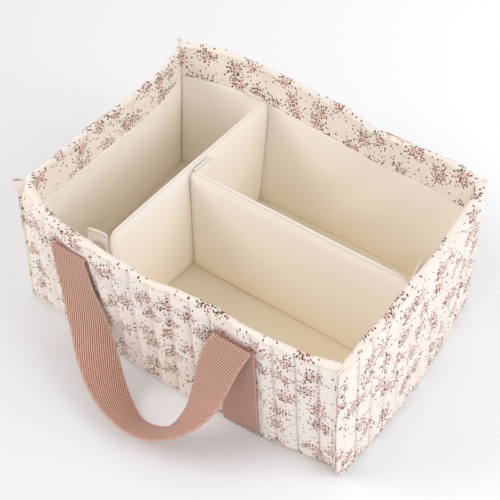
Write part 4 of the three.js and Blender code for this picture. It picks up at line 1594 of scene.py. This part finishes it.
# The dividers' lengths, near enough for their rounded corners and their cloth
CROSS_LENGTH = 240
LONG_LENGTH = 244

for wall_name, seed in PRINT_SEEDS.items():
    quilted_wall(wall_name, seed)
    rim_facing(wall_name, seed)
    wall_lining(wall_name, seed)
    wall_foam(wall_name)
floor_lining()
base_foam()
base_panel()
base_welt()
for corner_name in CORNERS:
    corner_fin(corner_name)

for wall_name, standoff, fold_reach in (
    ("front", FOLD_RADIUS + LAYER_GAP, FRONT_FOLD_REACH),
    ("back", BACK_FOLD_STANDOFF, BACK_FOLD_REACH),
):
    for side_name, centre in zip(("left", "right"), strap_centres(WALLS[wall_name])):
        wall_strap(wall_name, side_name, centre, standoff, STRAP_CLOTH)
    handle_loop(wall_name, fold_reach, LOOP_CLOTH)

padded_divider("cross_divider", CROSS, 11, CROSS_LENGTH, "cross_divider")
padded_divider("long_divider", LONG, 17, LONG_LENGTH, "long_divider")
for name, tab in TABS.items():
    hook_tab(name, tab)

for wall_name, seed in PRINT_SEEDS.items():
    wall = WALLS[wall_name]
    channels = channel_count(wall)
    paths = [quilting_path(wall, line / channels) for line in range(1, channels)]
    paths.append(hem_path(wall, OUTER_LEG + OUTER_HEM_INSET, seed))
    paths.append(hem_path(wall, INNER_STITCH, seed))
    seam_piece(f"{wall_name}_wall_stitches", paths, CREAM_THREAD)
for wall_name in ("front", "back"):
    wall = WALLS[wall_name]
    paths = [strap_edge_path(wall, centre, side) for centre in strap_centres(wall) for side in (-1, 1)]
    seam_piece(f"{wall_name}_strap_stitches", paths, PINK_THREAD)

# Every other CAD node has its own piece, so only the base's board is left to finish.
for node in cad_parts.values():
    if node.material_slots:
        node.material_slots[0].material = BOARD

# Floor, light and camera

STUDIO_FLOOR_SIZE = 30

floor_mesh = bmesh.new()
bmesh.ops.create_grid(floor_mesh, x_segments=1, y_segments=1, size=STUDIO_FLOOR_SIZE)
floor_data = bpy.data.meshes.new("studio_floor")
floor_mesh.to_mesh(floor_data)
floor_mesh.free()
floor = bpy.data.objects.new("studio_floor", floor_data)
bpy.context.scene.collection.objects.link(floor)
floor_finish = Finish("studio_floor", 0.9)
# The floor is a little darker on the left, as the photograph's is.
# Painted shade: this gradient in the floor's colour stands in for the light falling off towards the left.
rightwards = floor_finish.vector("DOT_PRODUCT", floor_finish.object_place(), (0.83, 0.56, 0))
painted_falloff = floor_finish.ramp(rightwards, -0.45, 0.45)
floor_finish.wear(floor_finish.blend(painted_falloff, tone(220, 220, 222), tone(246, 246, 247)))
floor_data.materials.append(floor_finish.material)

world = bpy.data.worlds.new("studio")
world.use_nodes = True
world.node_tree.nodes["Background"].inputs["Color"].default_value = (0.985, 0.99, 0.985, 1)
world.node_tree.nodes["Background"].inputs["Strength"].default_value = 0.83
bpy.context.scene.world = world
bpy.context.scene.view_settings.view_transform = "Standard"


def softbox(name, place, size, power, colour):
    """A square light in metres and watts that looks at the caddy."""
    data = bpy.data.lights.new(name, "AREA")
    data.shape = "SQUARE"
    data.size = size
    data.energy = power
    data.color = colour
    light = bpy.data.objects.new(name, data)
    light.location = place
    light.rotation_euler = (Vector((0, 0, 0.08)) - Vector(place)).to_track_quat("-Z", "Y").to_euler()
    bpy.context.scene.collection.objects.link(light)


softbox("key", (-1.7, -1.15, 1.85), 1.4, 24.5, (1, 0.98, 0.95))
softbox("fill", (1.85, 0.2, 1.5), 1.4, 18.5, (0.9, 0.94, 1))


def photo_camera():
    azimuth = math.radians(CAMERA_AZIMUTH)
    elevation = math.radians(CAMERA_ELEVATION)
    roll = math.radians(CAMERA_ROLL)
    level = math.cos(elevation)
    back = Vector((math.sin(azimuth) * level, -math.cos(azimuth) * level, math.sin(elevation)))
    right = Vector((0, 0, 1)).cross(back).normalized()
    up = back.cross(right)
    tilted_right = right * math.cos(roll) + up * math.sin(roll)
    tilted_up = up * math.cos(roll) - right * math.sin(roll)
    data = bpy.data.cameras.new("photo_camera")
    data.lens = CAMERA_LENS
    data.sensor_width = CAMERA_SENSOR
    data.shift_x, data.shift_y = CAMERA_SHIFT
    data.clip_start = 0.01
    camera = bpy.data.objects.new("photo_camera", data)
    camera.location = (CAMERA_TARGET + back * CAMERA_DISTANCE) * MM
    turn = Matrix((tilted_right, tilted_up, back)).transposed()
    camera.rotation_euler = turn.to_euler()
    bpy.context.scene.collection.objects.link(camera)
    bpy.context.scene.camera = camera


photo_camera()
